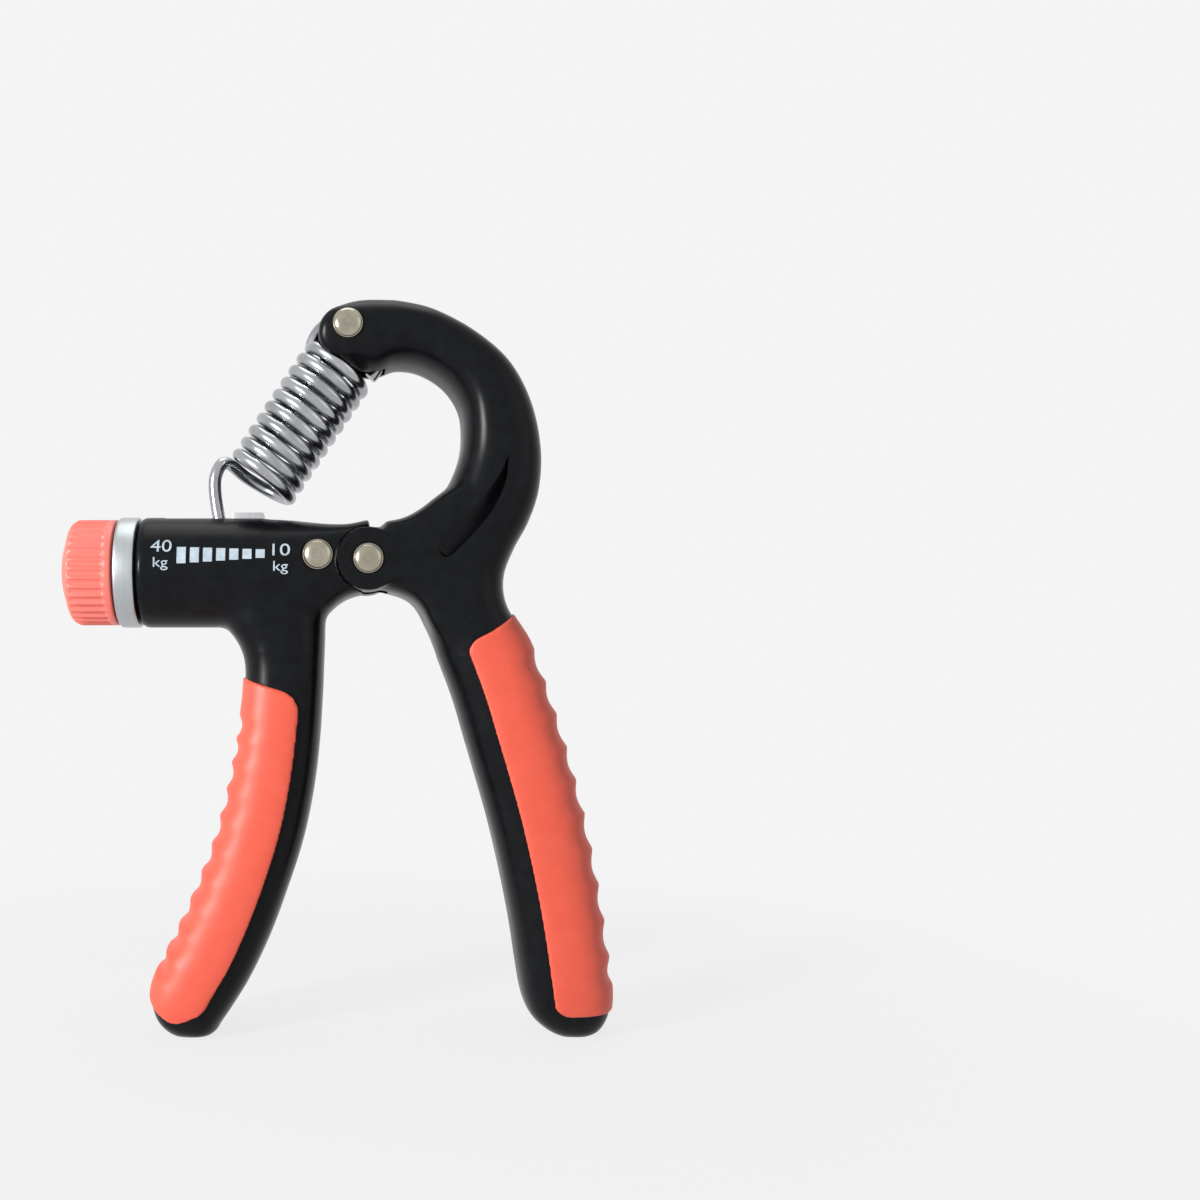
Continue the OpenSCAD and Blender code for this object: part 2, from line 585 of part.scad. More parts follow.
// each ring's first direction is the one before it, turned as little as the wire's bend allows
function carried(i, side) = unit(side - (side * heading(i)) * heading(i));
function wire_frames(i, side, made) = i >= len(wire_line) ? made
    : let (now = carried(i, side)) wire_frames(i + 1, now, concat(made, [now]));
module spring() color([0.78, 0.8, 0.82]) at_pivot() {
    frames = wire_frames(0, [1, 0, 0], []);
    loft([for (i = [0:len(wire_line) - 1]) let (other = cross(heading(i), frames[i]))
        [for (k = [0:wire_sides - 1]) wire_line[i]
            + wire_d / 2 * (frames[i] * cos(360 * k / wire_sides) + other * sin(360 * k / wire_sides))]]);
}
// places further apart along the wire than a third of a coil must not come close
apart = 5;
least_gap = min([for (i = [0:len(wire_line) - 1 - apart], j = [i + apart:len(wire_line) - 1])
    norm(wire_line[i] - wire_line[j])]) - wire_d;
echo(spring_least_gap = least_gap);

left_handle();
left_grip();
end_ferrule();
hinge_tongue();
cross_pin();
cross_pin_cap();
knob();
knob_cap();
lead_screw();
thrust_washer();
screw_clip();
adjuster_nut();
lever_arm();
right_grip();
pivot_pin();
pivot_pin_cap();
spring_pin();
spring_pin_cap();
spring_bush();
spring();
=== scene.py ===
# %% [markdown]
# # A hand grip strengthener, piece by piece
#
# The real object has two moulded handles that are joined by a hinge. A long tension spring pulls the
# curved top of one of them towards an adjuster in the other, and a ribbed knob sets how hard it pulls.
# The CAD model comes first and stays where it is. It gives every piece its place and its motion.
# What is modelled below is the surface that a hand and an eye would meet.

# %% Load the frame
import math
import bmesh
import bpy
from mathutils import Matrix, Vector


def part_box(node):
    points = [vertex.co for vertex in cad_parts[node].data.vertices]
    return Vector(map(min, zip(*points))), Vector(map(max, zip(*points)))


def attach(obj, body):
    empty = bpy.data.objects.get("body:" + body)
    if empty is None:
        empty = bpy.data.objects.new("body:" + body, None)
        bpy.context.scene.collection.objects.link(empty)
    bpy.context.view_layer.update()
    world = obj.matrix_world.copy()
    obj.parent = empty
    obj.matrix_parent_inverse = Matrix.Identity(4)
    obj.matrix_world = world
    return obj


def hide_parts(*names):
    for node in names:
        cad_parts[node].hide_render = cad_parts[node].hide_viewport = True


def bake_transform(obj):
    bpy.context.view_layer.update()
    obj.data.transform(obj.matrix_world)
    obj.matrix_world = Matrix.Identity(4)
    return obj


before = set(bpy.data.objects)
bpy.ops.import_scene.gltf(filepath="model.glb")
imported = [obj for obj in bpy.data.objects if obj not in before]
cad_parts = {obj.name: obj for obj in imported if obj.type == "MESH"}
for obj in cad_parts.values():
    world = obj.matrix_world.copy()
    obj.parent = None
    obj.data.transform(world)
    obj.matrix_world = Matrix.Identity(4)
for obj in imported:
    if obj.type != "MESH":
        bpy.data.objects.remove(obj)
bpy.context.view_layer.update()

# %% [markdown]
# Every measure of a gripper like this is easiest to read in millimetres from the hinge pin, because
# everything swings round it. The pin's own box in the CAD model gives that point, so nothing is fitted
# by hand.

# %% Measure from the hinge pin
MM = 0.001
pin_low, pin_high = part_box("pivot_pin")
PIVOT = Vector(((pin_low.x + pin_high.x) / 2, 0, (pin_low.z + pin_high.z) / 2))


def at(x, y, z):
    """A point given in millimetres from the hinge pin, in metres of the frame."""
    return PIVOT + Vector((x, y, z)) * MM


print("hinge pin at", [round(value, 5) for value in PIVOT])

# %% [markdown]
# Blender's operators act on whatever is selected. These small helpers do what a hand does between two
# steps: select one thing, name what was just added, and put a modifier on and apply it.

# %% Helpers for selecting, naming and applying


def choose(obj):
    """Selects one object alone and makes it the active one."""
    bpy.ops.object.select_all(action="DESELECT")
    obj.select_set(True)
    bpy.context.view_layer.objects.active = obj


def named(name):
    """Names the object that an operator has just added, and puts its place into its mesh."""
    obj = bpy.context.active_object
    obj.name = name
    obj.data.name = name
    bpy.ops.object.transform_apply(location=True, rotation=True, scale=True)
    return obj


def modify(obj, kind, **settings):
    """Adds a modifier, sets it and applies it."""
    choose(obj)
    modifier = obj.modifiers.new(kind.lower(), kind)
    for key, value in settings.items():
        setattr(modifier, key, value)
    bpy.ops.object.modifier_apply(modifier=modifier.name)


def choose_points(obj, test):
    """Goes into edit mode with only the points for which the test holds selected."""
    choose(obj)
    bpy.ops.object.mode_set(mode="EDIT")
    bpy.ops.mesh.select_mode(type="VERT")
    bpy.ops.mesh.select_all(action="DESELECT")
    shape = bmesh.from_edit_mesh(obj.data)
    for point in shape.verts:
        point.select = test((point.co - PIVOT) / MM)
    shape.select_flush_mode()
    bmesh.update_edit_mesh(obj.data)


def leave_edit():
    bpy.ops.object.mode_set(mode="OBJECT")


def tell(obj):
    faces = sum(len(face.vertices) - 2 for face in obj.data.polygons)
    print(obj.name, "has", faces, "triangles")


# %% [markdown]
# A few plain bodies are needed again and again as stock or as cutters: a rod through the object from
# front to back, a rod along the barrel, and a slab. The barrel's axis runs along X, 2.2 mm below the pin.

# %% Rods and slabs
BARREL_Z = -2.2
CROSS_PIN = (-10.4, 0.8)
HINGE_PIN = (0, 0)
FORK_PIN = (-4.2, 48.2)
PIN_BORE = 1.77
FORK_BORE = 1.8
HEAD_ROOM = 3.5
HEAD_FACE = 10.2
BEYOND = 20


def rod(name, x, z, radius, front, back, sides=96):
    """A cylinder from front to back through a point."""
    bpy.ops.object.select_all(action="DESELECT")
    bpy.ops.mesh.primitive_cylinder_add(
        vertices=sides, radius=radius * MM, depth=(back - front) * MM,
        location=at(x, (front + back) / 2, z), rotation=(math.pi / 2, 0, 0))
    return named(name)


def bar(name, left, right, radius, sides=128):
    """A cylinder along the barrel's axis."""
    bpy.ops.object.select_all(action="DESELECT")
    bpy.ops.mesh.primitive_cylinder_add(
        vertices=sides, radius=radius * MM, depth=(right - left) * MM,
        location=at((left + right) / 2, 0, BARREL_Z), rotation=(0, math.pi / 2, 0))
    return named(name)


def slab(name, low, high):
    """A box between two corners."""
    size = [(b - a) * MM for a, b in zip(low, high)]
    bpy.ops.object.select_all(action="DESELECT")
    bpy.ops.mesh.primitive_cube_add(
        size=1, location=at(*[(a + b) / 2 for a, b in zip(low, high)]), scale=size)
    return named(name)


def pin_rooms(name, pin, bore=PIN_BORE):
    """The cutters for a rivet: its bore, and the seats of its head at the front and the back."""
    return [rod(name + "_bore", *pin, bore, -BEYOND, BEYOND),
            rod(name + "_seat_front", *pin, HEAD_ROOM, -BEYOND, -HEAD_FACE),
            rod(name + "_seat_back", *pin, HEAD_ROOM, HEAD_FACE, BEYOND)]


def fuse(name, parts, voxel, smooth):
    """Melts bodies that overlap into one skin, as one moulding is, and eases its corners."""
    choose(parts[0])
    for part in parts:
        part.select_set(True)
    bpy.ops.object.join()
    obj = named(name)
    modify(obj, "REMESH", mode="VOXEL", voxel_size=voxel * MM)
    modify(obj, "SMOOTH", factor=0.5, iterations=smooth)
    return obj


def cut(obj, *cutters):
    """Takes bodies away from a moulding with sharp edges, as a steel core in a mould does."""
    for cutter in cutters:
        modify(obj, "BOOLEAN", object=cutter, operation="DIFFERENCE", solver="MANIFOLD")
        bpy.data.objects.remove(cutter, do_unlink=True)


# %% [markdown]
# The handles have no straight line in them. Each is described by sections: an outer and an inner point of
# its outline, and how deep it is there. A section is a superellipse, flatter than an ellipse and rounder
# than a box, which is what comes out of a two-part mould with generous corners. Skinning it is done by
# extruding one ring again and again, each time moving the new ring to the next section.

# %% Sections and skins
HALF_DEPTH = 10.8
SQUARENESS = 2.7


def through(table, u):
    """A smooth curve through a table's rows, read at row u, which may be a fraction."""
    i = min(max(int(u), 0), len(table) - 2)
    t = u - i
    rows = [table[min(max(i + k, 0), len(table) - 1)] for k in (-1, 0, 1, 2)]
    value = []
    for a, b, c, d in zip(*rows):
        value.append(0.5 * (2 * b + (c - a) * t + (2 * a - 5 * b + 4 * c - d) * t * t
                            + (3 * b - a - 3 * c + d) * t ** 3))
    return value


def signed_power(value, power):
    return math.copysign(abs(value) ** power, value)


def section_point(table, u, angle, inset=0.0, outward=0.0):
    """The point at an angle round a handle's section; angle 0 is on its outer side."""
    outer_x, outer_z, inner_x, inner_z, share = through(table, u)
    outer = Vector((outer_x, outer_z))
    inner = Vector((inner_x, inner_z))
    reach = ((outer - inner).length / 2 - inset) * signed_power(math.cos(angle), 2 / SQUARENESS)
    reach += outward * max(0.0, math.cos(angle)) ** 1.5
    place = (outer + inner) / 2 + (outer - inner).normalized() * reach
    return at(place.x, (HALF_DEPTH * share - inset) * signed_power(math.sin(angle), 2 / SQUARENESS), place.y)


def skin(name, rings):
    """Extrudes one ring of points through all the others, with a face at each end."""
    bpy.ops.object.select_all(action="DESELECT")
    bpy.ops.mesh.primitive_circle_add(vertices=len(rings[0]), fill_type="NGON")
    obj = named(name)
    bpy.ops.object.mode_set(mode="EDIT")
    bpy.ops.mesh.select_mode(type="VERT")
    shape = bmesh.from_edit_mesh(obj.data)
    order = shape.verts.layers.int.new("order")
    shape.verts.ensure_lookup_table()
    for i, point in enumerate(shape.verts):
        point[order] = i
        point.co = rings[0][i]
    for ring in rings[1:]:
        bpy.ops.mesh.extrude_region_move()
        shape = bmesh.from_edit_mesh(obj.data)
        order = shape.verts.layers.int["order"]
        shape.verts.ensure_lookup_table()
        for point in shape.verts[-len(ring):]:
            point.co = ring[point[order]]
    bpy.ops.mesh.select_all(action="SELECT")
    bpy.ops.mesh.normals_make_consistent(inside=False)
    leave_edit()
    return obj


def steps(low, high, count):
    return [low + (high - low) * k / count for k in range(count + 1)]


def handle(name, table, count, sides=72):
    angles = [2 * math.pi * k / sides for k in range(sides)]
    return skin(name, [[section_point(table, u, angle) for angle in angles]
                       for u in steps(0, len(table) - 1, count)])


# %% [markdown]
# These are the two handles' sections, from top to bottom: outer x and z, inner x and z, and the depth as a
# share of the full depth. The lever's table starts at the tip of the fork, goes round the curved arm and
# ends at the foot of the right handle.

# %% The handles' sections
LEFT = [
    [-32.5, -4.0, -9.5, -2.0, 0.94], [-30.8, -12.2, -8.9, -9.5, 0.96],
    [-27.4, -17.2, -8.8, -15.5, 0.97], [-25.9, -21.6, -9.0, -20.5, 0.98],
    [-26.0, -28.2, -9.3, -28.2, 1.00], [-27.0, -35.4, -9.9, -37.4, 1.00],
    [-28.4, -43.0, -11.0, -47.0, 1.00], [-30.2, -51.5, -13.2, -58.0, 1.00],
    [-32.8, -60.5, -16.6, -68.8, 1.00], [-36.2, -69.2, -20.4, -79.0, 1.00],
    [-39.9, -77.6, -24.6, -87.8, 0.99], [-43.6, -85.0, -28.4, -94.0, 0.97],
    [-45.5, -90.6, -30.6, -97.2, 0.92], [-44.9, -95.4, -31.4, -98.6, 0.82],
    [-43.0, -98.2, -32.4, -99.5, 0.68], [-41.0, -99.8, -33.8, -99.8, 0.50]]
LEVER = [
    [-9.6, 49.8, -9.6, 46.2, 0.92], [-7.6, 52.6, -7.4, 43.2, 0.96],
    [-3.0, 54.6, -3.0, 40.6, 0.98], [2.4, 55.0, 1.8, 39.9, 0.98],
    [8.0, 54.4, 6.0, 41.6, 0.98], [14.6, 52.6, 11.2, 41.0, 0.98],
    [22.8, 48.2, 16.4, 37.8, 0.98], [30.0, 42.0, 19.6, 32.9, 0.98],
    [34.6, 33.6, 20.3, 27.5, 0.98], [36.7, 24.0, 19.6, 21.9, 0.98],
    [36.4, 15.4, 17.2, 16.0, 0.98], [34.2, 8.4, 14.0, 9.4, 0.98],
    [31.0, 2.4, 11.8, 2.6, 0.98], [28.9, -3.4, 11.0, -5.4, 0.99],
    [29.6, -9.4, 12.6, -13.2, 1.00], [34.0, -16.6, 15.2, -20.6, 1.00],
    [37.1, -24.6, 18.4, -29.2, 1.00], [39.8, -32.6, 20.8, -37.4, 1.00],
    [42.3, -40.8, 23.2, -45.6, 1.00], [44.5, -49.0, 25.5, -53.6, 1.00],
    [46.5, -57.6, 27.5, -61.8, 1.00], [48.2, -66.4, 29.2, -69.6, 1.00],
    [49.6, -75.2, 30.7, -77.6, 1.00], [50.8, -84.0, 31.9, -85.6, 1.00],
    [51.4, -90.6, 33.0, -91.8, 0.94], [51.0, -95.2, 34.6, -95.8, 0.84],
    [49.4, -98.4, 37.2, -98.4, 0.68], [47.4, -99.8, 39.6, -99.8, 0.50]]

# %% [markdown]
# The soft pads are moulded over the outer side of each handle and lie in a rebate. Their ring is a C: round
# the outside at the pad's surface, and back along the floor of the rebate. The edge runs at the same share
# of the handle's width all the way and turns round a corner at each end. The top ends slant, and so does
# the lower end of the left one. On the outer side a row of shallow hollows with ridges between them keeps
# the fingers in place.

# %% How a pad runs
PADS = {
    "left": {"table": LEFT, "run": (3.45, 12.2), "hollows": (4.6, 11.2),
             "corners": (5.0, 9.0), "slants": (0.8, 1.8)},
    "right": {"table": LEVER, "run": (14.25, 24.7), "hollows": (15.25, 23.7),
              "corners": (4.0, 3.0), "slants": (0.8, 0.0)}}
PAD_COVER = 0.71
PAD_WALL = 2.4
HOLLOWS = 10
HOLLOW_DEPTH = 0.95


def pad_edge(pad, u):
    """The angle at which the pad ends on the front, smaller near its rounded corners."""
    row = through(pad["table"], u)
    half = math.hypot(row[0] - row[2], row[1] - row[3]) / 2
    ahead = through(pad["table"], u + 0.1)
    pace = math.hypot(ahead[0] - row[0], ahead[1] - row[1]) * 10
    bite = 0.0
    for radius, distance in zip(pad["corners"], (u - pad["run"][0], pad["run"][1] - u)):
        near = max(distance, 0) * pace
        if near < radius:
            bite = radius - math.sqrt(radius ** 2 - (radius - near) ** 2)
    return math.acos(signed_power(1 - 2 * PAD_COVER + bite / half, SQUARENESS / 2))


def hollow(pad, u):
    """How deep the finger hollows are at a place along the pad."""
    start, end = pad["hollows"]
    if u < start or u > end:
        return 0.0
    return -HOLLOW_DEPTH * abs(math.sin(math.pi * HOLLOWS * (u - start) / (end - start)))


def pad_rings(pad, count, outside, inside, wider, scalloped):
    """The C-shaped rings of a pad, or of the cutter that makes room for it."""
    start, end = pad["run"]
    rings = []
    for u in steps(start, end, count):
        edge = pad_edge(pad, u) + wider
        upper = pad["slants"][0] * max(0.0, 1 - (u - start) / 2.2) ** 2
        lower = pad["slants"][1] * max(0.0, 1 - (end - u) / 2.2) ** 2
        ring = []
        for inset, places in ((outside, steps(-1, 1, 56)), (inside, steps(1, -1, 28))):
            for place in places:
                angle = edge * place
                shifted = u + (upper + lower) * (1 - math.cos(angle)) / 2
                bump = hollow(pad, u) if scalloped and inset == outside else 0.0
                ring.append(section_point(pad["table"], shifted, angle, inset, bump))
        rings.append(ring)
    return rings


# %% [markdown]
# The left moulding is one piece of polypropylene: the adjuster's barrel, the neck that carries the
# hinge, and the handle. The barrel is turned stock with a rounded rim, and the neck changes from round at
# the barrel to nearly square at the hinge.

# %% Barrel and neck
NECK = [
    [-24.0, 9.4, -13.8, 11.6, 2.0], [-18.0, 9.1, -13.7, 11.5, 2.1],
    [-13.0, 8.5, -13.2, 11.2, 2.5], [-9.0, 8.0, -11.6, 10.9, 3.0],
    [-6.0, 7.8, -9.0, 10.7, 3.4], [-3.4, 7.9, -7.5, 10.5, 3.8],
    [0.4, 8.7, -6.5, 10.5, 4.0]]


def neck_ring(u, sides=72):
    x, top, bottom, half, squareness = through(NECK, u)
    ring = []
    for k in range(sides):
        angle = 2 * math.pi * (k + 0.5) / sides
        across = half * signed_power(math.cos(angle), 2 / squareness)
        height = (top - bottom) / 2 * signed_power(math.sin(angle), 2 / squareness)
        ring.append(at(x, across, (top + bottom) / 2 + height))
    return ring


barrel = bar("barrel", -47.8, -21.5, 11.7)
choose_points(barrel, lambda p: p.x < -47)
bpy.ops.mesh.bevel(offset=1.3 * MM, segments=5, affect="EDGES")
leave_edit()
spigot = bar("spigot", -50.9, -46.8, 9.5)
neck = skin("neck", [neck_ring(u) for u in steps(0, 6, 60)])
left_stock = handle("left_stock", LEFT, 150)

# %% The left moulding
left_moulding = fuse("left_moulding", [left_stock, barrel, spigot, neck], 0.5, 6)
choose_points(left_moulding, lambda p: -31 < p.x < -7 and -19 < p.z < -6)
bpy.ops.mesh.vertices_smooth(factor=0.5, repeat=25)
leave_edit()
tell(left_moulding)

# %% [markdown]
# Cores in the mould leave what must stay open: the cavity for the nut, the bore for the screw, the slot on
# top through which the nut's crown and the spring's hook reach, the round room for the lever's ears, the
# tongue's slot, and the seats of the rivet. The rebate for the pad is cut with the pad's own rings, a
# tenth of a millimetre larger, which leaves the thin dark line round the pad.

# %% Open the left moulding
cut(left_moulding,
    bar("cavity", -45.4, -16.1, 8.3),
    bar("screw_bore", -60, -14.7, 3.05),
    slab("top_slot", (-43.0, -3.2, -2.2), (-16.1, 3.2, 20)),
    rod("ear_room", *HINGE_PIN, 6.9, -BEYOND, BEYOND),
    *pin_rooms("cross", CROSS_PIN),
    slab("tongue_room", (-14.4, -3.05, -4.6), (5, 3.05, 5.6)),
    skin("left_rebate", pad_rings(PADS["left"], 90, -3.0, PAD_WALL, 0.012, False)))
tell(left_moulding)

# %% [markdown]
# The lever is the second moulding: the fork that holds the spring, the curved arm, the ears of the hinge
# and the right handle. A bevelled plate joins the ears to the arm.

# %% The lever moulding
BLOCK = [
    (-0.3, 6.5), (0.8, 7.0), (2.9, 6.9), (3.7, 8.2), (5.8, 8.5), (8.2, 9.2), (11.4, 11.1), (14.5, 13.7),
    (17.4, 15.6), (22, 17.5), (26, 12), (24, -4), (19.2, -12), (18.0, -17.0), (16.0, -18.4),
    (14.5, -17.0), (12.9, -14.2), (11.5, -10.8), (9.8, -8.5), (7.0, -7.1),
    (2.6, -6.0), (-0.3, -6.5)]
BLOCK_EDGE = ((10.4, 0.70), (10.2, 0.78), (9.6, 0.86), (8.4, 0.93), (6.5, 0.98), (4.5, 1.0))


def block_ring(depth, shrink):
    """The plate's outline at a depth, drawn in towards its middle by a share."""
    return [at(11 + (x - 11) * shrink, depth, 1 + (z - 1) * shrink) for x, z in BLOCK]


block_rings = [block_ring(-depth, shrink) for depth, shrink in BLOCK_EDGE]
block_rings += [block_ring(depth, shrink) for depth, shrink in reversed(BLOCK_EDGE)]
block = skin("block", block_rings)
ears = rod("ears", *HINGE_PIN, 6.6, -10.5, 10.5)
fork_end = rod("fork_end", -5.0, 47.0, 5.4, -9.8, 9.8)
lever_stock = handle("lever_stock", LEVER, 240)
lever_moulding = fuse("lever_moulding", [lever_stock, block, ears, fork_end], 0.5, 6)
choose_points(lever_moulding, lambda p: 6 < p.x < 21 and -20 < p.z < 22)
bpy.ops.mesh.vertices_smooth(factor=0.5, repeat=60)
leave_edit()
choose_points(lever_moulding, lambda p: p.x < 5 and p.z > 38)
bpy.ops.mesh.vertices_smooth(factor=0.5, repeat=25)
leave_edit()
tell(lever_moulding)

# %% [markdown]
# A crescent is scooped out of both faces where the arm meets the hinge. Its outer edge is crisp and its floor
# rises until it runs out in the face. The spring's last turn needs a round room under the fork.

# %% Scoops and the coil's room
SCOOP = [
    [28.7, 21.0, 27.9, 19.4, 10.2], [28.2, 15.9, 25.8, 15.9, 8.9], [25.8, 10.4, 22.1, 11.6, 8.6],
    [22.1, 5.6, 17.3, 8.0, 8.6], [17.3, 0.8, 13.6, 4.4, 8.9], [15.5, 0.2, 13.35, 2.0, 10.2]]
COIL_LOW = Vector((-23.1, 0, 16.5))
COIL_DIR = Vector((0.557, 0, 0.83)).normalized()
COIL_ROOM = 31.8


def scoop(name, face):
    """The crescent's cutter for the front (face -1) or the back (face 1)."""
    rings = []
    for u in steps(0, len(SCOOP) - 1, 40):
        outer_x, outer_z, inner_x, inner_z, floor = through(SCOOP, u)
        ring = [at(outer_x, 16 * face, outer_z)]
        for t in steps(0, 1, 6):
            depth = floor + (10.9 - floor) * t ** 1.3
            x = outer_x + (inner_x - outer_x) * t
            z = outer_z + (inner_z - outer_z) * t
            ring.append(at(x, depth * face, z))
        ring.append(at(inner_x, 16 * face, inner_z))
        rings.append(ring)
    return skin(name, rings)


bpy.ops.object.select_all(action="DESELECT")
bpy.ops.mesh.primitive_cylinder_add(
    vertices=96, radius=8.7 * MM, depth=COIL_ROOM * MM, location=at(*(COIL_LOW + COIL_DIR * COIL_ROOM / 2)),
    rotation=(0, math.atan2(COIL_DIR.x, COIL_DIR.z), 0))
coil_room = named("coil_room")

# %% Open the lever moulding
cut(lever_moulding,
    slab("tongue_slot", (-20, -3.3, -12), (4.45, 3.3, 10)),
    *pin_rooms("pivot", HINGE_PIN),
    rod("fork_floor", -4.5, 44.65, 9.25, -2.5, 2.5),
    slab("fork_slot", (-34, -2.5, 34.2), (-4.5, 2.5, 64)),
    coil_room, scoop("scoop_front", -1), scoop("scoop_back", 1),
    *pin_rooms("fork", FORK_PIN, FORK_BORE),
    skin("right_rebate", pad_rings(PADS["right"], 110, -3.0, PAD_WALL, 0.012, False)))
tell(lever_moulding)

# %% [markdown]
# The pads themselves stand half a millimetre proud of the plastic. Soft rubber has no sharp edge, so
# the skin is melted to a fine even mesh and its corners are eased.

# %% The pads


def make_pad(name, pad, count):
    obj = skin(name, pad_rings(pad, count, -0.5, PAD_WALL - 0.1, -0.004, True))
    modify(obj, "REMESH", mode="VOXEL", voxel_size=0.36 * MM)
    modify(obj, "SMOOTH", factor=0.5, iterations=4)
    choose(obj)
    bpy.ops.object.shade_smooth()
    tell(obj)
    return obj


left_pad = make_pad("left_pad", PADS["left"], 200)
right_pad = make_pad("right_pad", PADS["right"], 240)

# %% [markdown]
# Turned parts are spun: one half of their cross-section goes round the axis. The profile is a list of
# distances along the axis and radii, closed where the part has a bore.

# %% Spin a turned part


def turned(name, profile, centre, axis, side, count, bored):
    """Spins a profile of (distance along the axis, radius) in millimetres round an axis."""
    bpy.ops.object.select_all(action="DESELECT")
    bpy.ops.mesh.primitive_circle_add(vertices=len(profile), fill_type="NOTHING")
    obj = named(name)
    bpy.ops.object.mode_set(mode="EDIT")
    shape = bmesh.from_edit_mesh(obj.data)
    shape.verts.ensure_lookup_table()
    for point, (along, radius) in zip(shape.verts, profile):
        point.co = centre + (Vector(axis) * along + Vector(side) * radius) * MM
    if not bored:
        last = shape.edges.get((shape.verts[len(profile) - 1], shape.verts[0]))
        bmesh.ops.delete(shape, geom=[last], context="EDGES_FACES")
    bmesh.update_edit_mesh(obj.data)
    bpy.ops.mesh.select_all(action="SELECT")
    bpy.ops.mesh.spin(steps=count, angle=2 * math.pi, center=centre, axis=axis)
    bpy.ops.mesh.select_all(action="SELECT")
    bpy.ops.mesh.remove_doubles(threshold=1e-6)
    bpy.ops.mesh.normals_make_consistent(inside=False)
    leave_edit()
    bpy.ops.object.shade_smooth_by_angle(angle=math.radians(40))
    return obj


def arc(x, radius, size, start, end, count):
    """Points of a rounded corner on a profile."""
    return [(x + size * math.cos(math.radians(a)), radius + size * math.sin(math.radians(a)))
            for a in steps(start, end, count)]


AXIS = at(0, 0, BARREL_Z)
BORE = 3.05

# %% [markdown]
# The silver ring is a thin cup over the barrel's end: a wide land with small chamfers at both rims.

# %% The silver ring
collar = turned(
    "collar", [(-52.4, BORE), (-52.4, 10.9)] + arc(-51.7, 11.0, 0.7, 180, 90, 6)
    + arc(-48.5, 11.3, 0.4, 90, 0, 5) + [(-48.1, 9.55), (-51.1, 9.55), (-51.1, BORE)],
    AXIS, (1, 0, 0), (0, 0, 1), 160, True)
tell(collar)

# %% [markdown]
# The knob is spun in very many steps, and then its points are pressed in towards the axis between 36 ribs,
# only in the band where the fingers turn it. A domed button closes its end.

# %% The knob and its button
knob = turned(
    "ribbed_knob", [(-62.7 + 0.6, 8.05), (-62.7, 8.1)] + arc(-60.4, 8.9, 2.3, 180, 90, 10)
    + [(-60.0 + 0.35 * k, 11.2) for k in range(20)] + arc(-53.2, 10.8, 0.4, 90, 0, 4)
    + [(-52.7, 5.7), (-53.5, 5.7), (-53.5, BORE), (-62.1, BORE)],
    AXIS, (1, 0, 0), (0, 0, 1), 288, True)
RIBS = 36
for point in knob.data.vertices:
    away = point.co - AXIS
    radius = math.hypot(away.y, away.z) / MM
    along = away.x / MM
    if radius > 9.2:
        band = min(max((along + 61.9) / 0.9, 0), max((-54.2 - along) / 0.5, 0), 1)
        wave = 0.5 - 0.5 * math.cos(RIBS * math.atan2(away.y, away.z))
        press = 0.55 * band * min(1.0, wave * 1.6)
        point.co.y -= away.y / (radius * MM) * press * MM
        point.co.z -= away.z / (radius * MM) * press * MM
button = turned(
    "knob_button", [(-62.1, 0.0), (-62.1, 7.98), (-62.6, 7.98)]
    + [(-62.6 - 1.85 * math.cos(math.radians(a)), 7.9 * math.sin(math.radians(a))) for a in steps(85, 0, 16)],
    AXIS, (1, 0, 0), (0, 0, 1), 96, False)
tell(knob)
tell(button)

# %% [markdown]
# The screw is only seen through the slot on top, but a plain rod there would look wrong. Its thread is one
# long ridge: each point's radius depends on how far it is along the screw and how far round.

# %% The lead screw
screw = bar("threaded_screw", -57.4, -15.1, 3.0, sides=40)
choose_points(screw, lambda p: True)
bpy.ops.mesh.select_all(action="DESELECT")
bpy.ops.mesh.select_mode(type="EDGE")
shape = bmesh.from_edit_mesh(screw.data)
for edge in shape.edges:
    edge.select = abs(edge.verts[0].co.x - edge.verts[1].co.x) > 1 * MM
bmesh.update_edit_mesh(screw.data)
bpy.ops.mesh.subdivide(number_cuts=260)
leave_edit()
for point in screw.data.vertices:
    away = point.co - AXIS
    along = away.x / MM
    if -45 < along < -15.5:
        turn = (along - math.atan2(away.z, away.y) / (2 * math.pi)) % 1.0
        depth = 0.3 * (1 - abs(2 * turn - 1)) * min(1, -15.5 - along)
        point.co.y -= away.y / 3 * depth
        point.co.z -= away.z / 3 * depth
head = bar("screw_head", -57.5, -53.5, 5.6, sides=6)
modify(head, "BEVEL", width=0.3 * MM, segments=3, limit_method="ANGLE")
choose(screw)
head.select_set(True)
bpy.ops.object.join()
bpy.ops.object.shade_smooth_by_angle(angle=math.radians(50))
tell(screw)

# %% [markdown]
# The nut is a round slug with a crown that stands up through the slot. It shows the setting against the
# scale, so its top is cleanly milled, flat with small bevels.

# %% The travelling nut
nut = bar("travelling_nut", -28.3, -21.9, 8.0, sides=96)
crown = slab("crown", (-28.3, -2.9, -2.2), (-21.9, 2.9, 10.3))
modify(nut, "BOOLEAN", object=crown, operation="UNION", solver="EXACT")
bpy.data.objects.remove(crown, do_unlink=True)
cut(nut, bar("nut_bore", -30, -20, BORE, sides=64))
modify(nut, "BEVEL", width=0.35 * MM, segments=3, limit_method="ANGLE", angle_limit=math.radians(40))
choose(nut)
bpy.ops.object.shade_smooth_by_angle(angle=math.radians(40))
tell(nut)

# %% [markdown]
# Each rivet's head is a shallow dome with a flat washer rim, closed over the thin end of its pin. The same
# profile is spun three times, at the hinge, beside it and at the fork.

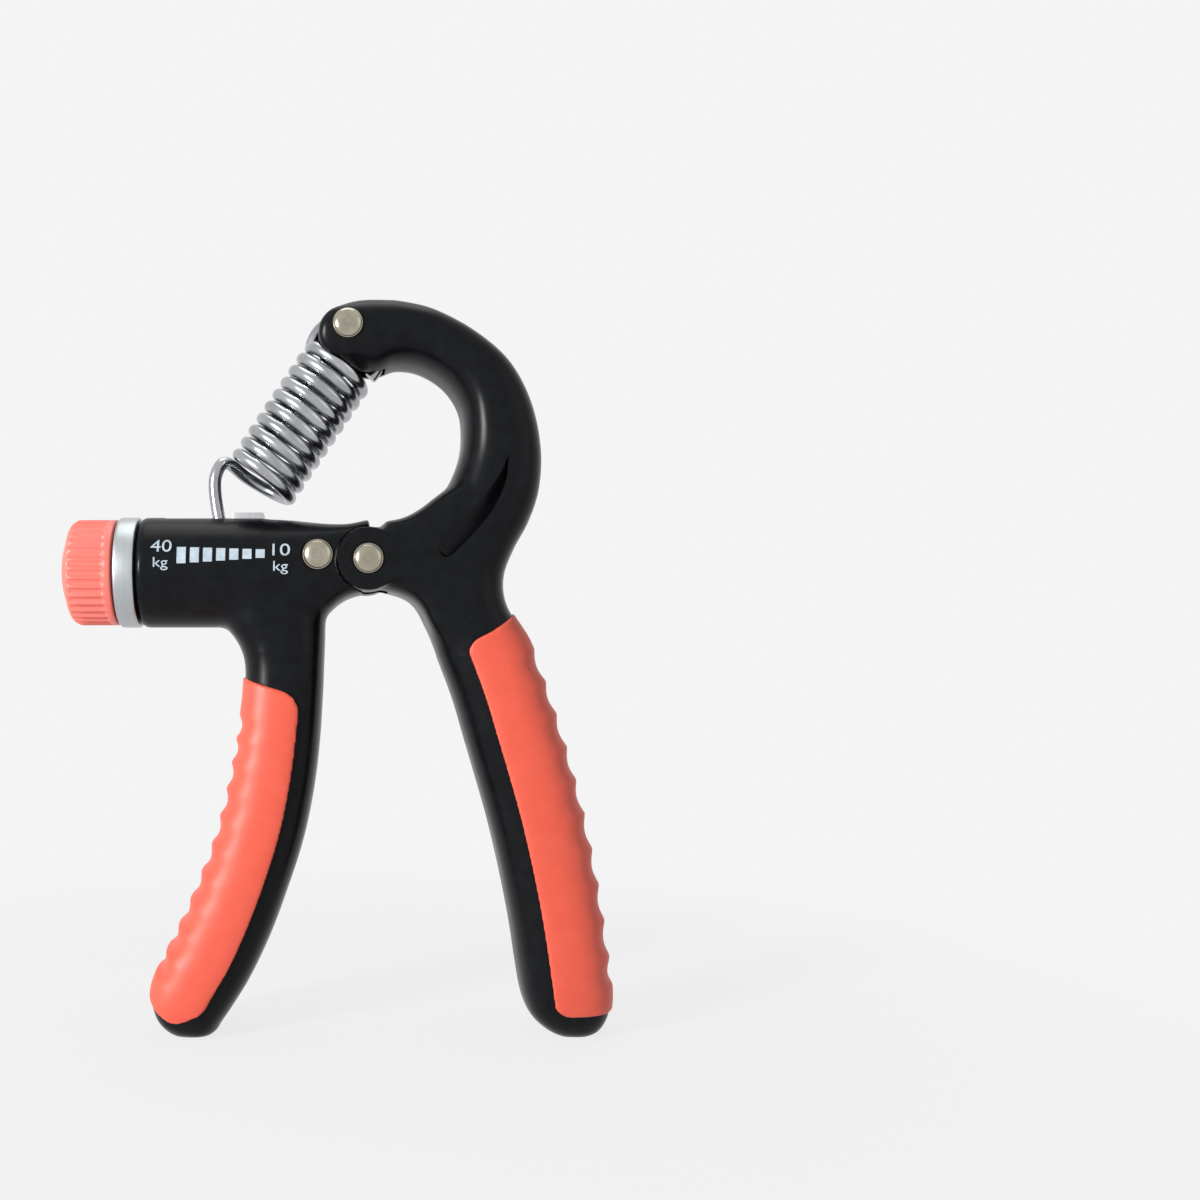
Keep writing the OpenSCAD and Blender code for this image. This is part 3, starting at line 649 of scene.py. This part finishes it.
# %% Rivet heads
RIVET = [(-10.22, 0.83), (-10.22, 3.05), (-10.62, 3.05)] + [
    (-10.62 - 0.95 * math.sin(math.radians(a)), 0.83 + 2.07 * math.cos(math.radians(a)))
    for a in steps(0, 90, 12)]


def rivet(name, x, z):
    obj = turned(name, RIVET, at(x, 0, z), (0, 1, 0), (0, 0, 1), 64, True)
    tell(obj)
    return obj


pivot_rivet = rivet("hinge_rivet", *HINGE_PIN)
cross_rivet = rivet("neck_rivet", *CROSS_PIN)
fork_rivet = rivet("fork_rivet", *FORK_PIN)

# %% [markdown]
# The spring is one length of wire, so it is one curve: a hook under the screw, a shank up to the coil,
# ten turns, and a loop round the spacer in the fork. A curve with a round bevel gives the wire
# its thickness, and it is then made a mesh.

# %% The spring's path
COIL_SIDE = Vector((-COIL_DIR.z, 0, COIL_DIR.x))
BACK = Vector((0, 1, 0))
COIL_R = 7.05
PITCH = 3.05
FIRST_TURN = 60
LAST_TURN = 10 * 360 - 40
LOOP = Vector((-4.5, 0, 44.65))
LOOP_R = 7.4
HOOK_X = -29.8
HOOK_R = 4.5
HOOK_ENDS = (20, -225)
LOOP_ENDS = (165, -45)


def on_coil(angle):
    a = math.radians(angle)
    return COIL_LOW + COIL_DIR * PITCH * angle / 360 + COIL_R * (COIL_SIDE * math.cos(a) + BACK * math.sin(a))


def coil_heading(angle):
    a = math.radians(angle)
    rise = COIL_DIR * PITCH / (2 * math.pi * COIL_R)
    return (rise - COIL_SIDE * math.sin(a) + BACK * math.cos(a)).normalized()


def on_hook(angle):
    a = math.radians(angle)
    return Vector((HOOK_X, HOOK_R * math.cos(a), BARREL_Z + HOOK_R * math.sin(a)))


def on_loop(angle):
    a = math.radians(angle)
    return LOOP + LOOP_R * Vector((math.cos(a), 0, math.sin(a)))


def bridge(p, p_dir, q, q_dir, t):
    """A smooth curve from one point and heading to another."""
    return ((2 * t ** 3 - 3 * t * t + 1) * p + (t ** 3 - 2 * t * t + t) * p_dir
            + (3 * t * t - 2 * t ** 3) * q + (t ** 3 - t * t) * q_dir)


shank = Vector((-32.2, 0, 18.6))
shank_dir = Vector((0.29, 0, 0.957)).normalized()
hook_end = math.radians(HOOK_ENDS[1])
hook_heading = Vector((0, math.sin(hook_end), -math.cos(hook_end)))
loop_start = math.radians(LOOP_ENDS[0])
loop_heading = Vector((math.sin(loop_start), 0, -math.cos(loop_start)))
wire = [on_hook(angle) for angle in steps(*HOOK_ENDS, 30)]
wire += [bridge(on_hook(HOOK_ENDS[1]), 10 * hook_heading, shank, 12 * shank_dir, k / 14)
         for k in range(1, 14)]
wire += [bridge(shank, 17 * shank_dir, on_coil(FIRST_TURN), 12 * coil_heading(FIRST_TURN), k / 20)
         for k in range(20)]
wire += [on_coil(angle) for angle in steps(FIRST_TURN, LAST_TURN, 400)]
wire += [bridge(on_coil(LAST_TURN), 6 * coil_heading(LAST_TURN),
                on_loop(LOOP_ENDS[0]), 6 * loop_heading, k / 20) for k in range(1, 20)]
wire += [on_loop(angle) for angle in steps(*LOOP_ENDS, 44)]

# %% The spring
path = bpy.data.curves.new("spring_path", "CURVE")
path.dimensions = "3D"
path.bevel_depth = 1.36 * MM
path.bevel_resolution = 5
path.use_fill_caps = True
strand = path.splines.new("POLY")
strand.points.add(len(wire) - 1)
for point, place in zip(strand.points, wire):
    point.co = (*at(*place), 1)
spring = bpy.data.objects.new("tension_spring", path)
bpy.context.scene.collection.objects.link(spring)
choose(spring)
bpy.ops.object.convert(target="MESH")
spring = bpy.context.active_object
bpy.ops.object.shade_smooth()
tell(spring)

# %% [markdown]
# The scale is printed on the barrel: two settings in kilograms with a row of bars between them that grow
# shorter as the load falls. Letters are made as text, turned into a mesh, fitted into their places and
# laid on the round barrel a few hundredths of a millimetre proud, as thick ink is.

# %% Lay print on the barrel


def fit(obj, left, right, bottom, top):
    """Fits a flat mesh into a place on the front of the barrel."""
    xs = [point.co.x for point in obj.data.vertices]
    ys = [point.co.y for point in obj.data.vertices]
    for point in obj.data.vertices:
        x = left + (right - left) * (point.co.x - min(xs)) / (max(xs) - min(xs))
        z = bottom + (top - bottom) * (point.co.y - min(ys)) / (max(ys) - min(ys))
        point.co = at(x, 0, z)


def text_mark(text, left, right, bottom, top):
    bpy.ops.object.select_all(action="DESELECT")
    bpy.ops.object.text_add()
    obj = bpy.context.active_object
    obj.data.body = text
    bpy.ops.object.convert(target="MESH")
    obj = named("mark_" + text)
    fit(obj, left, right, bottom, top)
    return obj


def bar_mark(left, right, bottom, top):
    bpy.ops.object.select_all(action="DESELECT")
    bpy.ops.mesh.primitive_plane_add(size=1)
    obj = named("mark_bar")
    fit(obj, left, right, bottom, top)
    return obj


marks = [
    text_mark("40", -44.5, -40.2, 1.2, 3.7), text_mark("kg", -43.9, -40.9, -2.6, 0.1),
    text_mark("10", -19.6, -16.0, 0.4, 2.9), text_mark("kg", -19.4, -16.4, -3.4, -0.7)]
for k in range(7):
    share = k / 6
    left = -39.1 + share * 16.1
    marks.append(bar_mark(left, left + 1.85, -1.2 + share * 1.1, 2.2 - share * 0.5))
choose(marks[0])
for mark in marks:
    mark.select_set(True)
bpy.ops.object.join()
scale_print = named("load_scale")
bpy.ops.object.mode_set(mode="EDIT")
bpy.ops.mesh.select_all(action="SELECT")
bpy.ops.mesh.quads_convert_to_tris()
bpy.ops.mesh.subdivide(number_cuts=3)
leave_edit()
for point in scale_print.data.vertices:
    height = (point.co.z - AXIS.z) / MM
    point.co.y = -math.sqrt(11.72 ** 2 - height ** 2) * MM
modify(scale_print, "SOLIDIFY", thickness=0.05 * MM, offset=1)
tell(scale_print)

# %% [markdown]
# Now every piece is put on the part of the mechanism that carries it, and the CAD solid it stands for is
# hidden. The spring is the one piece that stretches; it rides on no body here: its place is put into its mesh
# and its
# CAD solid is hidden.

# %% Ride and replace
for piece, body, node, finish in (
        (left_moulding, "left_body", "left_handle", "black_moulding"),
        (left_pad, "left_body", "left_grip", "coral_grip"),
        (collar, "left_body", "end_ferrule", "satin_silver"),
        (scale_print, "left_body", None, "satin_silver"),
        (cross_rivet, "left_body", "cross_pin_cap", "rivet_nickel"),
        (lever_moulding, "lever", "lever_arm", "black_moulding"),
        (right_pad, "lever", "right_grip", "coral_grip"),
        (pivot_rivet, "lever", "pivot_pin_cap", "rivet_nickel"),
        (fork_rivet, "lever", "spring_pin_cap", "rivet_nickel"),
        (knob, "adjuster", "knob", "coral_knob"),
        (button, "adjuster", "knob_cap", "coral_knob"),
        (screw, "adjuster", "lead_screw", "screw_steel"),
        (nut, "nut", "adjuster_nut", "screw_steel")):
    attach(piece, body)
    if node:
        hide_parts(node)
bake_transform(spring)
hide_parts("spring")
for obj in (left_moulding, lever_moulding):
    choose(obj)
    bpy.ops.object.shade_smooth_by_angle(angle=math.radians(38))

# %% [markdown]
# A finish is a small network of nodes. Three effects come back in several finishes, so each is a node group
# with named inputs and outputs: the fine grain that a mould or a blast leaves, the uneven sheen that hands
# leave, and the rings that a lathe tool leaves. They only put out heights and masks. The shader itself
# stays in each material.

# %% Helpers for node networks


def new_node(tree, kind, x, y, **values):
    """Adds a node at a place in the editor and sets its properties."""
    node = tree.nodes.new(kind)
    node.location = (x, y)
    for key, value in values.items():
        setattr(node, key, value)
    return node


def new_group(name, inputs, outputs):
    """A node group with float inputs and outputs, and a vector input for the place."""
    group = bpy.data.node_groups.new(name, "ShaderNodeTree")
    group.interface.new_socket("Place", in_out="INPUT", socket_type="NodeSocketVector")
    for title, value in inputs:
        socket = group.interface.new_socket(title, in_out="INPUT", socket_type="NodeSocketFloat")
        socket.default_value = value
    for title in outputs:
        group.interface.new_socket(title, in_out="OUTPUT", socket_type="NodeSocketFloat")
    entry = new_node(group, "NodeGroupInput", -700, 0)
    leave = new_node(group, "NodeGroupOutput", 500, 0)
    return group, entry, leave


def noise(tree, place, scale, x, y, detail=2.0, roughness=0.5):
    node = new_node(tree, "ShaderNodeTexNoise", x, y)
    node.inputs["Detail"].default_value = detail
    node.inputs["Roughness"].default_value = roughness
    tree.links.new(place, node.inputs["Vector"])
    if isinstance(scale, float):
        node.inputs["Scale"].default_value = scale
    else:
        tree.links.new(scale, node.inputs["Scale"])
    return node.outputs["Fac"]


def spread(tree, value, low, high, x, y, to_low=0.0, to_high=1.0):
    """Maps a value softly from one range to another."""
    node = new_node(tree, "ShaderNodeMapRange", x, y, interpolation_type="SMOOTHSTEP")
    node.inputs["From Min"].default_value = low
    node.inputs["From Max"].default_value = high
    node.inputs["To Min"].default_value = to_low
    node.inputs["To Max"].default_value = to_high
    tree.links.new(value, node.inputs["Value"])
    return node.outputs["Result"]


def reckon(tree, operation, first, second, x, y):
    """One Math node between two values, of which the second may be a number."""
    node = new_node(tree, "ShaderNodeMath", x, y, operation=operation)
    tree.links.new(first, node.inputs[0])
    if isinstance(second, float):
        node.inputs[1].default_value = second
    else:
        tree.links.new(second, node.inputs[1])
    return node.outputs["Value"]


# %% Fine grain
grain, entry, leave = new_group("fine_grain", (("Scale", 2500.0), ("Coarse Share", 0.3)), ("Height", "Tone"))
fine = noise(grain, entry.outputs["Place"], entry.outputs["Scale"], -450, 200, detail=3.0)
wide_scale = reckon(grain, "MULTIPLY", entry.outputs["Scale"], 0.12, -600, -200)
wide = noise(grain, entry.outputs["Place"], wide_scale, -450, -200)
coarse = reckon(grain, "MULTIPLY", wide, entry.outputs["Coarse Share"], -200, -200)
grain.links.new(reckon(grain, "ADD", fine, coarse, 100, 100), leave.inputs["Height"])
grain.links.new(spread(grain, wide, 0.3, 0.7, 100, -200), leave.inputs["Tone"])

# %% Marks of handling
handling, entry, leave = new_group("handling_marks", (("Scale", 60.0),), ("Sheen", "Scuffs"))
patches = noise(handling, entry.outputs["Place"], entry.outputs["Scale"], -450, 200, detail=4.0)
handling.links.new(spread(handling, patches, 0.35, 0.68, 100, 200), leave.inputs["Sheen"])
stretch = new_node(handling, "ShaderNodeMapping", -600, -150)
stretch.inputs["Scale"].default_value = (1.0, 0.35, 9.0)
stretch.inputs["Rotation"].default_value = (0.0, 0.5, 0.0)
handling.links.new(entry.outputs["Place"], stretch.inputs["Vector"])
hairs = noise(handling, stretch.outputs["Vector"], 260.0, -400, -150, detail=2.0)
thin = spread(handling, hairs, 0.66, 0.74, -150, -150)
handling.links.new(reckon(handling, "MULTIPLY", thin, patches, 100, -150), leave.inputs["Scuffs"])

# %% Lathe rings
rings, entry, leave = new_group("lathe_rings", (("Scale", 900.0),), ("Height", "Tone"))
split = new_node(rings, "ShaderNodeSeparateXYZ", -600, 0)
rings.links.new(entry.outputs["Place"], split.inputs["Vector"])
along = new_node(rings, "ShaderNodeCombineXYZ", -450, 0)
rings.links.new(split.outputs["X"], along.inputs["X"])
lines = noise(rings, along.outputs["Vector"], entry.outputs["Scale"], -250, 100, detail=4.0, roughness=0.7)
rings.links.new(lines, leave.inputs["Height"])
rings.links.new(spread(rings, lines, 0.3, 0.7, 50, -100), leave.inputs["Tone"])
print("node groups:", [group.name for group in bpy.data.node_groups])

# %% [markdown]
# One helper lays out a finish: a shader, the object's own coordinates, the groups it needs, a colour that
# shifts a little between two tones, and a bump. Its numbers are what tell plastic, rubber and plated
# steel apart.

# %% A finish from two tones, sheen and bump


def tree_of(name):
    material = bpy.data.materials.new(name)
    material.use_nodes = True
    tree = material.node_tree
    shader = tree.nodes["Principled BSDF"]
    shader.location = (700, 0)
    tree.nodes["Material Output"].location = (1000, 0)
    place = new_node(tree, "ShaderNodeTexCoord", -1100, 0).outputs["Object"]
    return material, tree, shader, place


def effect(tree, group, place, x, y, **values):
    """Places a group in a material with its own numbers."""
    node = new_node(tree, "ShaderNodeGroup", x, y, node_tree=group)
    tree.links.new(place, node.inputs["Place"])
    for title, value in values.items():
        node.inputs[title.replace("_", " ")].default_value = value
    return node


def tones(tree, shader, mask, first, second):
    """Colours the surface between two tones by a mask."""
    mix = new_node(tree, "ShaderNodeMix", 300, 300, data_type="RGBA")
    mix.inputs["A"].default_value = (*first, 1)
    mix.inputs["B"].default_value = (*second, 1)
    tree.links.new(mask, mix.inputs["Factor"])
    tree.links.new(mix.outputs["Result"], shader.inputs["Base Color"])
    return mix


def relief(tree, shader, height, distance, strength=1.0):
    bump = new_node(tree, "ShaderNodeBump", 450, -350)
    bump.inputs["Strength"].default_value = strength
    bump.inputs["Distance"].default_value = distance
    tree.links.new(height, bump.inputs["Height"])
    tree.links.new(bump.outputs["Normal"], shader.inputs["Normal"])


# %% [markdown]
# **Black moulding.** Polypropylene from a finely blasted mould: nearly black with a trace of blue, satin, and
# polished a little where hands and pockets rub it.

# %% Black moulding
black, tree, shader, place = tree_of("black_moulding")
grained = effect(tree, grain, place, -800, 200, Scale=3200.0, Coarse_Share=0.5)
marked = effect(tree, handling, place, -800, -100, Scale=70.0)
tones(tree, shader, grained.outputs["Tone"], (0.0038, 0.0042, 0.0050), (0.0058, 0.0064, 0.0077))
sheen = spread(tree, marked.outputs["Sheen"], 0.0, 1.0, 0, -50, 0.30, 0.24)
tree.links.new(sheen, shader.inputs["Roughness"])
relief(tree, shader, grained.outputs["Height"], 0.00002, 0.35)
shader.inputs["Specular IOR Level"].default_value = 0.11

# %% [markdown]
# **Coral pads.** Soft thermoplastic rubber: a matt, slightly powdery skin with a fine even grain, and a
# colour that deepens in the grain.

# %% Coral pads
coral, tree, shader, place = tree_of("coral_pad")
grained = effect(tree, grain, place, -800, 200, Scale=2600.0, Coarse_Share=0.8)
marked = effect(tree, handling, place, -800, -100, Scale=45.0)
tones(tree, shader, grained.outputs["Tone"], (0.70, 0.086, 0.046), (0.73, 0.094, 0.052))
sheen = spread(tree, marked.outputs["Sheen"], 0.0, 1.0, 0, -50, 0.54, 0.47)
tree.links.new(sheen, shader.inputs["Roughness"])
relief(tree, shader, grained.outputs["Height"], 0.00003, 0.4)
shader.inputs["Specular IOR Level"].default_value = 0.5
shader.inputs["Sheen Weight"].default_value = 0.08

# %% [markdown]
# **Coral knob.** The same colour in hard plastic, so it is brighter, smoother and glossier than the pads.

# %% Coral knob
knob_coral, tree, shader, place = tree_of("coral_knob")
grained = effect(tree, grain, place, -800, 200, Scale=3600.0, Coarse_Share=0.3)
marked = effect(tree, handling, place, -800, -100, Scale=90.0)
tones(tree, shader, marked.outputs["Sheen"], (0.78, 0.165, 0.130), (0.81, 0.185, 0.150))
sheen = spread(tree, marked.outputs["Sheen"], 0.0, 1.0, 0, -50, 0.42, 0.32)
tree.links.new(sheen, shader.inputs["Roughness"])
relief(tree, shader, grained.outputs["Height"], 0.00002, 0.2)
shader.inputs["Specular IOR Level"].default_value = 0.4

# %% [markdown]
# **Metals.** Four of them: the satin silver ring, the bright zinc wire, the steel of the screw, nut and
# washer, and the warm nickel of the rivets. They share one recipe, in which a mask moves both the tone and
# the roughness, as real plating does.

# %% The metals


def metal(name, group, output, first, second, rough, depth, **values):
    material, tree, shader, place = tree_of(name)
    worked = effect(tree, group, place, -800, 200, **values)
    marked = effect(tree, handling, place, -800, -100, Scale=120.0)
    tones(tree, shader, worked.outputs[output], first, second)
    sheen = spread(tree, marked.outputs["Sheen"], 0.0, 1.0, 0, -50, rough[0], rough[1])
    tree.links.new(sheen, shader.inputs["Roughness"])
    relief(tree, shader, worked.outputs["Height"], depth, 0.4)
    shader.inputs["Metallic"].default_value = 1.0
    return material


silver = metal("satin_silver", rings, "Tone", (0.41, 0.44, 0.45), (0.50, 0.53, 0.545), (0.40, 0.32), 0.00001,
               Scale=2200.0)
zinc = metal("zinc_wire", grain, "Tone", (0.35, 0.36, 0.38), (0.46, 0.47, 0.49), (0.26, 0.18), 0.00001,
             Scale=1800.0)
steel = metal("bright_steel", rings, "Tone", (0.48, 0.49, 0.50), (0.62, 0.63, 0.64), (0.38, 0.28), 0.00001,
              Scale=3000.0)
nickel = metal("warm_nickel", grain, "Tone", (0.36, 0.33, 0.26), (0.44, 0.41, 0.33), (0.26, 0.18), 0.00001,
               Scale=2400.0)

# %% [markdown]
# **Ink.** Pale blue-grey, flat and matt, a little thin in places so that the black shows in its tone.

# %% Scale ink
ink, tree, shader, place = tree_of("scale_ink")
grained = effect(tree, grain, place, -800, 200, Scale=5200.0, Coarse_Share=0.4)
tones(tree, shader, grained.outputs["Tone"], (0.36, 0.44, 0.50), (0.47, 0.55, 0.61))
relief(tree, shader, grained.outputs["Height"], 0.00001, 0.3)
shader.inputs["Roughness"].default_value = 0.6

# %% Dress every piece and every CAD solid that stays in sight
for piece, material in (
        (left_moulding, black), (lever_moulding, black), (left_pad, coral), (right_pad, coral),
        (knob, knob_coral), (button, knob_coral), (collar, silver), (scale_print, ink), (spring, zinc),
        (screw, steel), (nut, steel), (pivot_rivet, nickel), (cross_rivet, nickel), (fork_rivet, nickel)):
    piece.data.materials.clear()
    piece.data.materials.append(material)
for node, material in (
        ("hinge_tongue", steel), ("thrust_washer", steel), ("screw_clip", steel), ("spring_bush", steel),
        ("pivot_pin", nickel), ("cross_pin", nickel), ("spring_pin", nickel)):
    for index in range(len(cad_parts[node].material_slots)):
        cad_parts[node].material_slots[index].material = material
    print(node, "wears", material.name)

# %% [markdown]
# The gripper is shown as a catalogue shows it, standing on its two tips on a pale floor. The camera looks
# straight at its front from a quarter of a metre, and its view is shifted to the right, because the
# picture's frame has more room there.

# %% Camera
camera_data = bpy.data.cameras.new("camera")
camera = bpy.data.objects.new("camera", camera_data)
bpy.context.scene.collection.objects.link(camera)
camera.location = at(-7.84, -246, -22.3)
camera.rotation_euler = (math.pi / 2, 0, 0)
camera_data.sensor_width = 36
camera_data.lens = 34.54
camera_data.shift_x = 0.225
camera_data.shift_y = 0.0558
camera_data.clip_start = 0.01
camera_data.clip_end = 20
bpy.context.scene.camera = camera

# %% [markdown]
# A compact lamp at the left, in front and above, draws the long highlights down the mouldings and makes
# the left pad paler than the right one. A weak one at the right and one above keep the shaded sides readable.

# %% Lamps


def lamp(name, place, aim, size, power):
    data = bpy.data.lights.new(name, "AREA")
    data.shape = "SQUARE"
    data.size = size
    data.energy = power
    obj = bpy.data.objects.new(name, data)
    bpy.context.scene.collection.objects.link(obj)
    obj.location = place
    obj.rotation_euler = (Vector(aim) - Vector(place)).to_track_quat("-Z", "Y").to_euler()


lamp("key_lamp", (-0.65, -0.55, 0.25), (0, 0, 0.08), 0.18, 9.5)
lamp("fill_lamp", (0.70, -0.50, 0.35), (0, 0, 0.08), 0.5, 0.45)
lamp("top_lamp", (0.0, 0.10, 0.85), (0, 0, 0.08), 0.5, 1.6)

# %% [markdown]
# The background is the world itself, nearly white to the camera and to reflections, and a weaker grey as
# light on the object. The floor is plain white card. What the camera sees of it is mostly its own pale
# tone, and only that further away, so that nothing but the shadow is left of the studio.

# %% World and floor
BACKGROUND = (0.905, 0.905, 0.905, 1)


def seen_directly(tree, x, y):
    """1 for what the camera, a reflection or glass sees, 0 for light that falls on things."""
    rays = new_node(tree, "ShaderNodeLightPath", x, y)
    first = reckon(tree, "MAXIMUM", rays.outputs["Is Camera Ray"], rays.outputs["Is Glossy Ray"], x + 200, y)
    return reckon(tree, "MAXIMUM", first, rays.outputs["Is Transmission Ray"], x + 400, y)


world = bpy.data.worlds.new("studio")
bpy.context.scene.world = world
world.use_nodes = True
tree = world.node_tree
glow = tree.nodes["Background"]
glow.inputs["Color"].default_value = (0.24, 0.245, 0.255, 1)
white = new_node(tree, "ShaderNodeBackground", 0, -200)
white.inputs["Color"].default_value = BACKGROUND
choice = new_node(tree, "ShaderNodeMixShader", 300, 0)
tree.links.new(seen_directly(tree, -500, 300), choice.inputs["Fac"])
tree.links.new(glow.outputs["Background"], choice.inputs[1])
tree.links.new(white.outputs["Background"], choice.inputs[2])
tree.links.new(choice.outputs["Shader"], tree.nodes["World Output"].inputs["Surface"])

bpy.ops.object.select_all(action="DESELECT")
bpy.ops.mesh.primitive_circle_add(vertices=96, radius=3.0, fill_type="NGON", location=(0, 0, -0.0002))
floor = named("floor")
card = bpy.data.materials.new("white_card")
card.use_nodes = True
tree = card.node_tree
shader = tree.nodes["Principled BSDF"]
shader.inputs["Base Color"].default_value = (0.86, 0.86, 0.86, 1)
shader.inputs["Roughness"].default_value = 0.9
shader.inputs["Specular IOR Level"].default_value = 0.0
tone = new_node(tree, "ShaderNodeEmission", 0, -300)
tone.inputs["Color"].default_value = BACKGROUND
choice = new_node(tree, "ShaderNodeMixShader", 500, 0)
distance = new_node(tree, "ShaderNodeVectorMath", -700, 600, operation="LENGTH")
tree.links.new(new_node(tree, "ShaderNodeTexCoord", -900, 600).outputs["Object"], distance.inputs[0])
away = spread(tree, distance.outputs["Value"], 0.07, 0.26, -450, 600, 0.88, 1.0)
share = reckon(tree, "MULTIPLY", seen_directly(tree, -700, 300), away, 0, 300)
tree.links.new(share, choice.inputs["Fac"])
tree.links.new(shader.outputs["BSDF"], choice.inputs[1])
tree.links.new(tone.outputs["Emission"], choice.inputs[2])
tree.links.new(choice.outputs["Shader"], tree.nodes["Material Output"].inputs["Surface"])
floor.data.materials.append(card)
bpy.context.scene.view_settings.view_transform = "Standard"
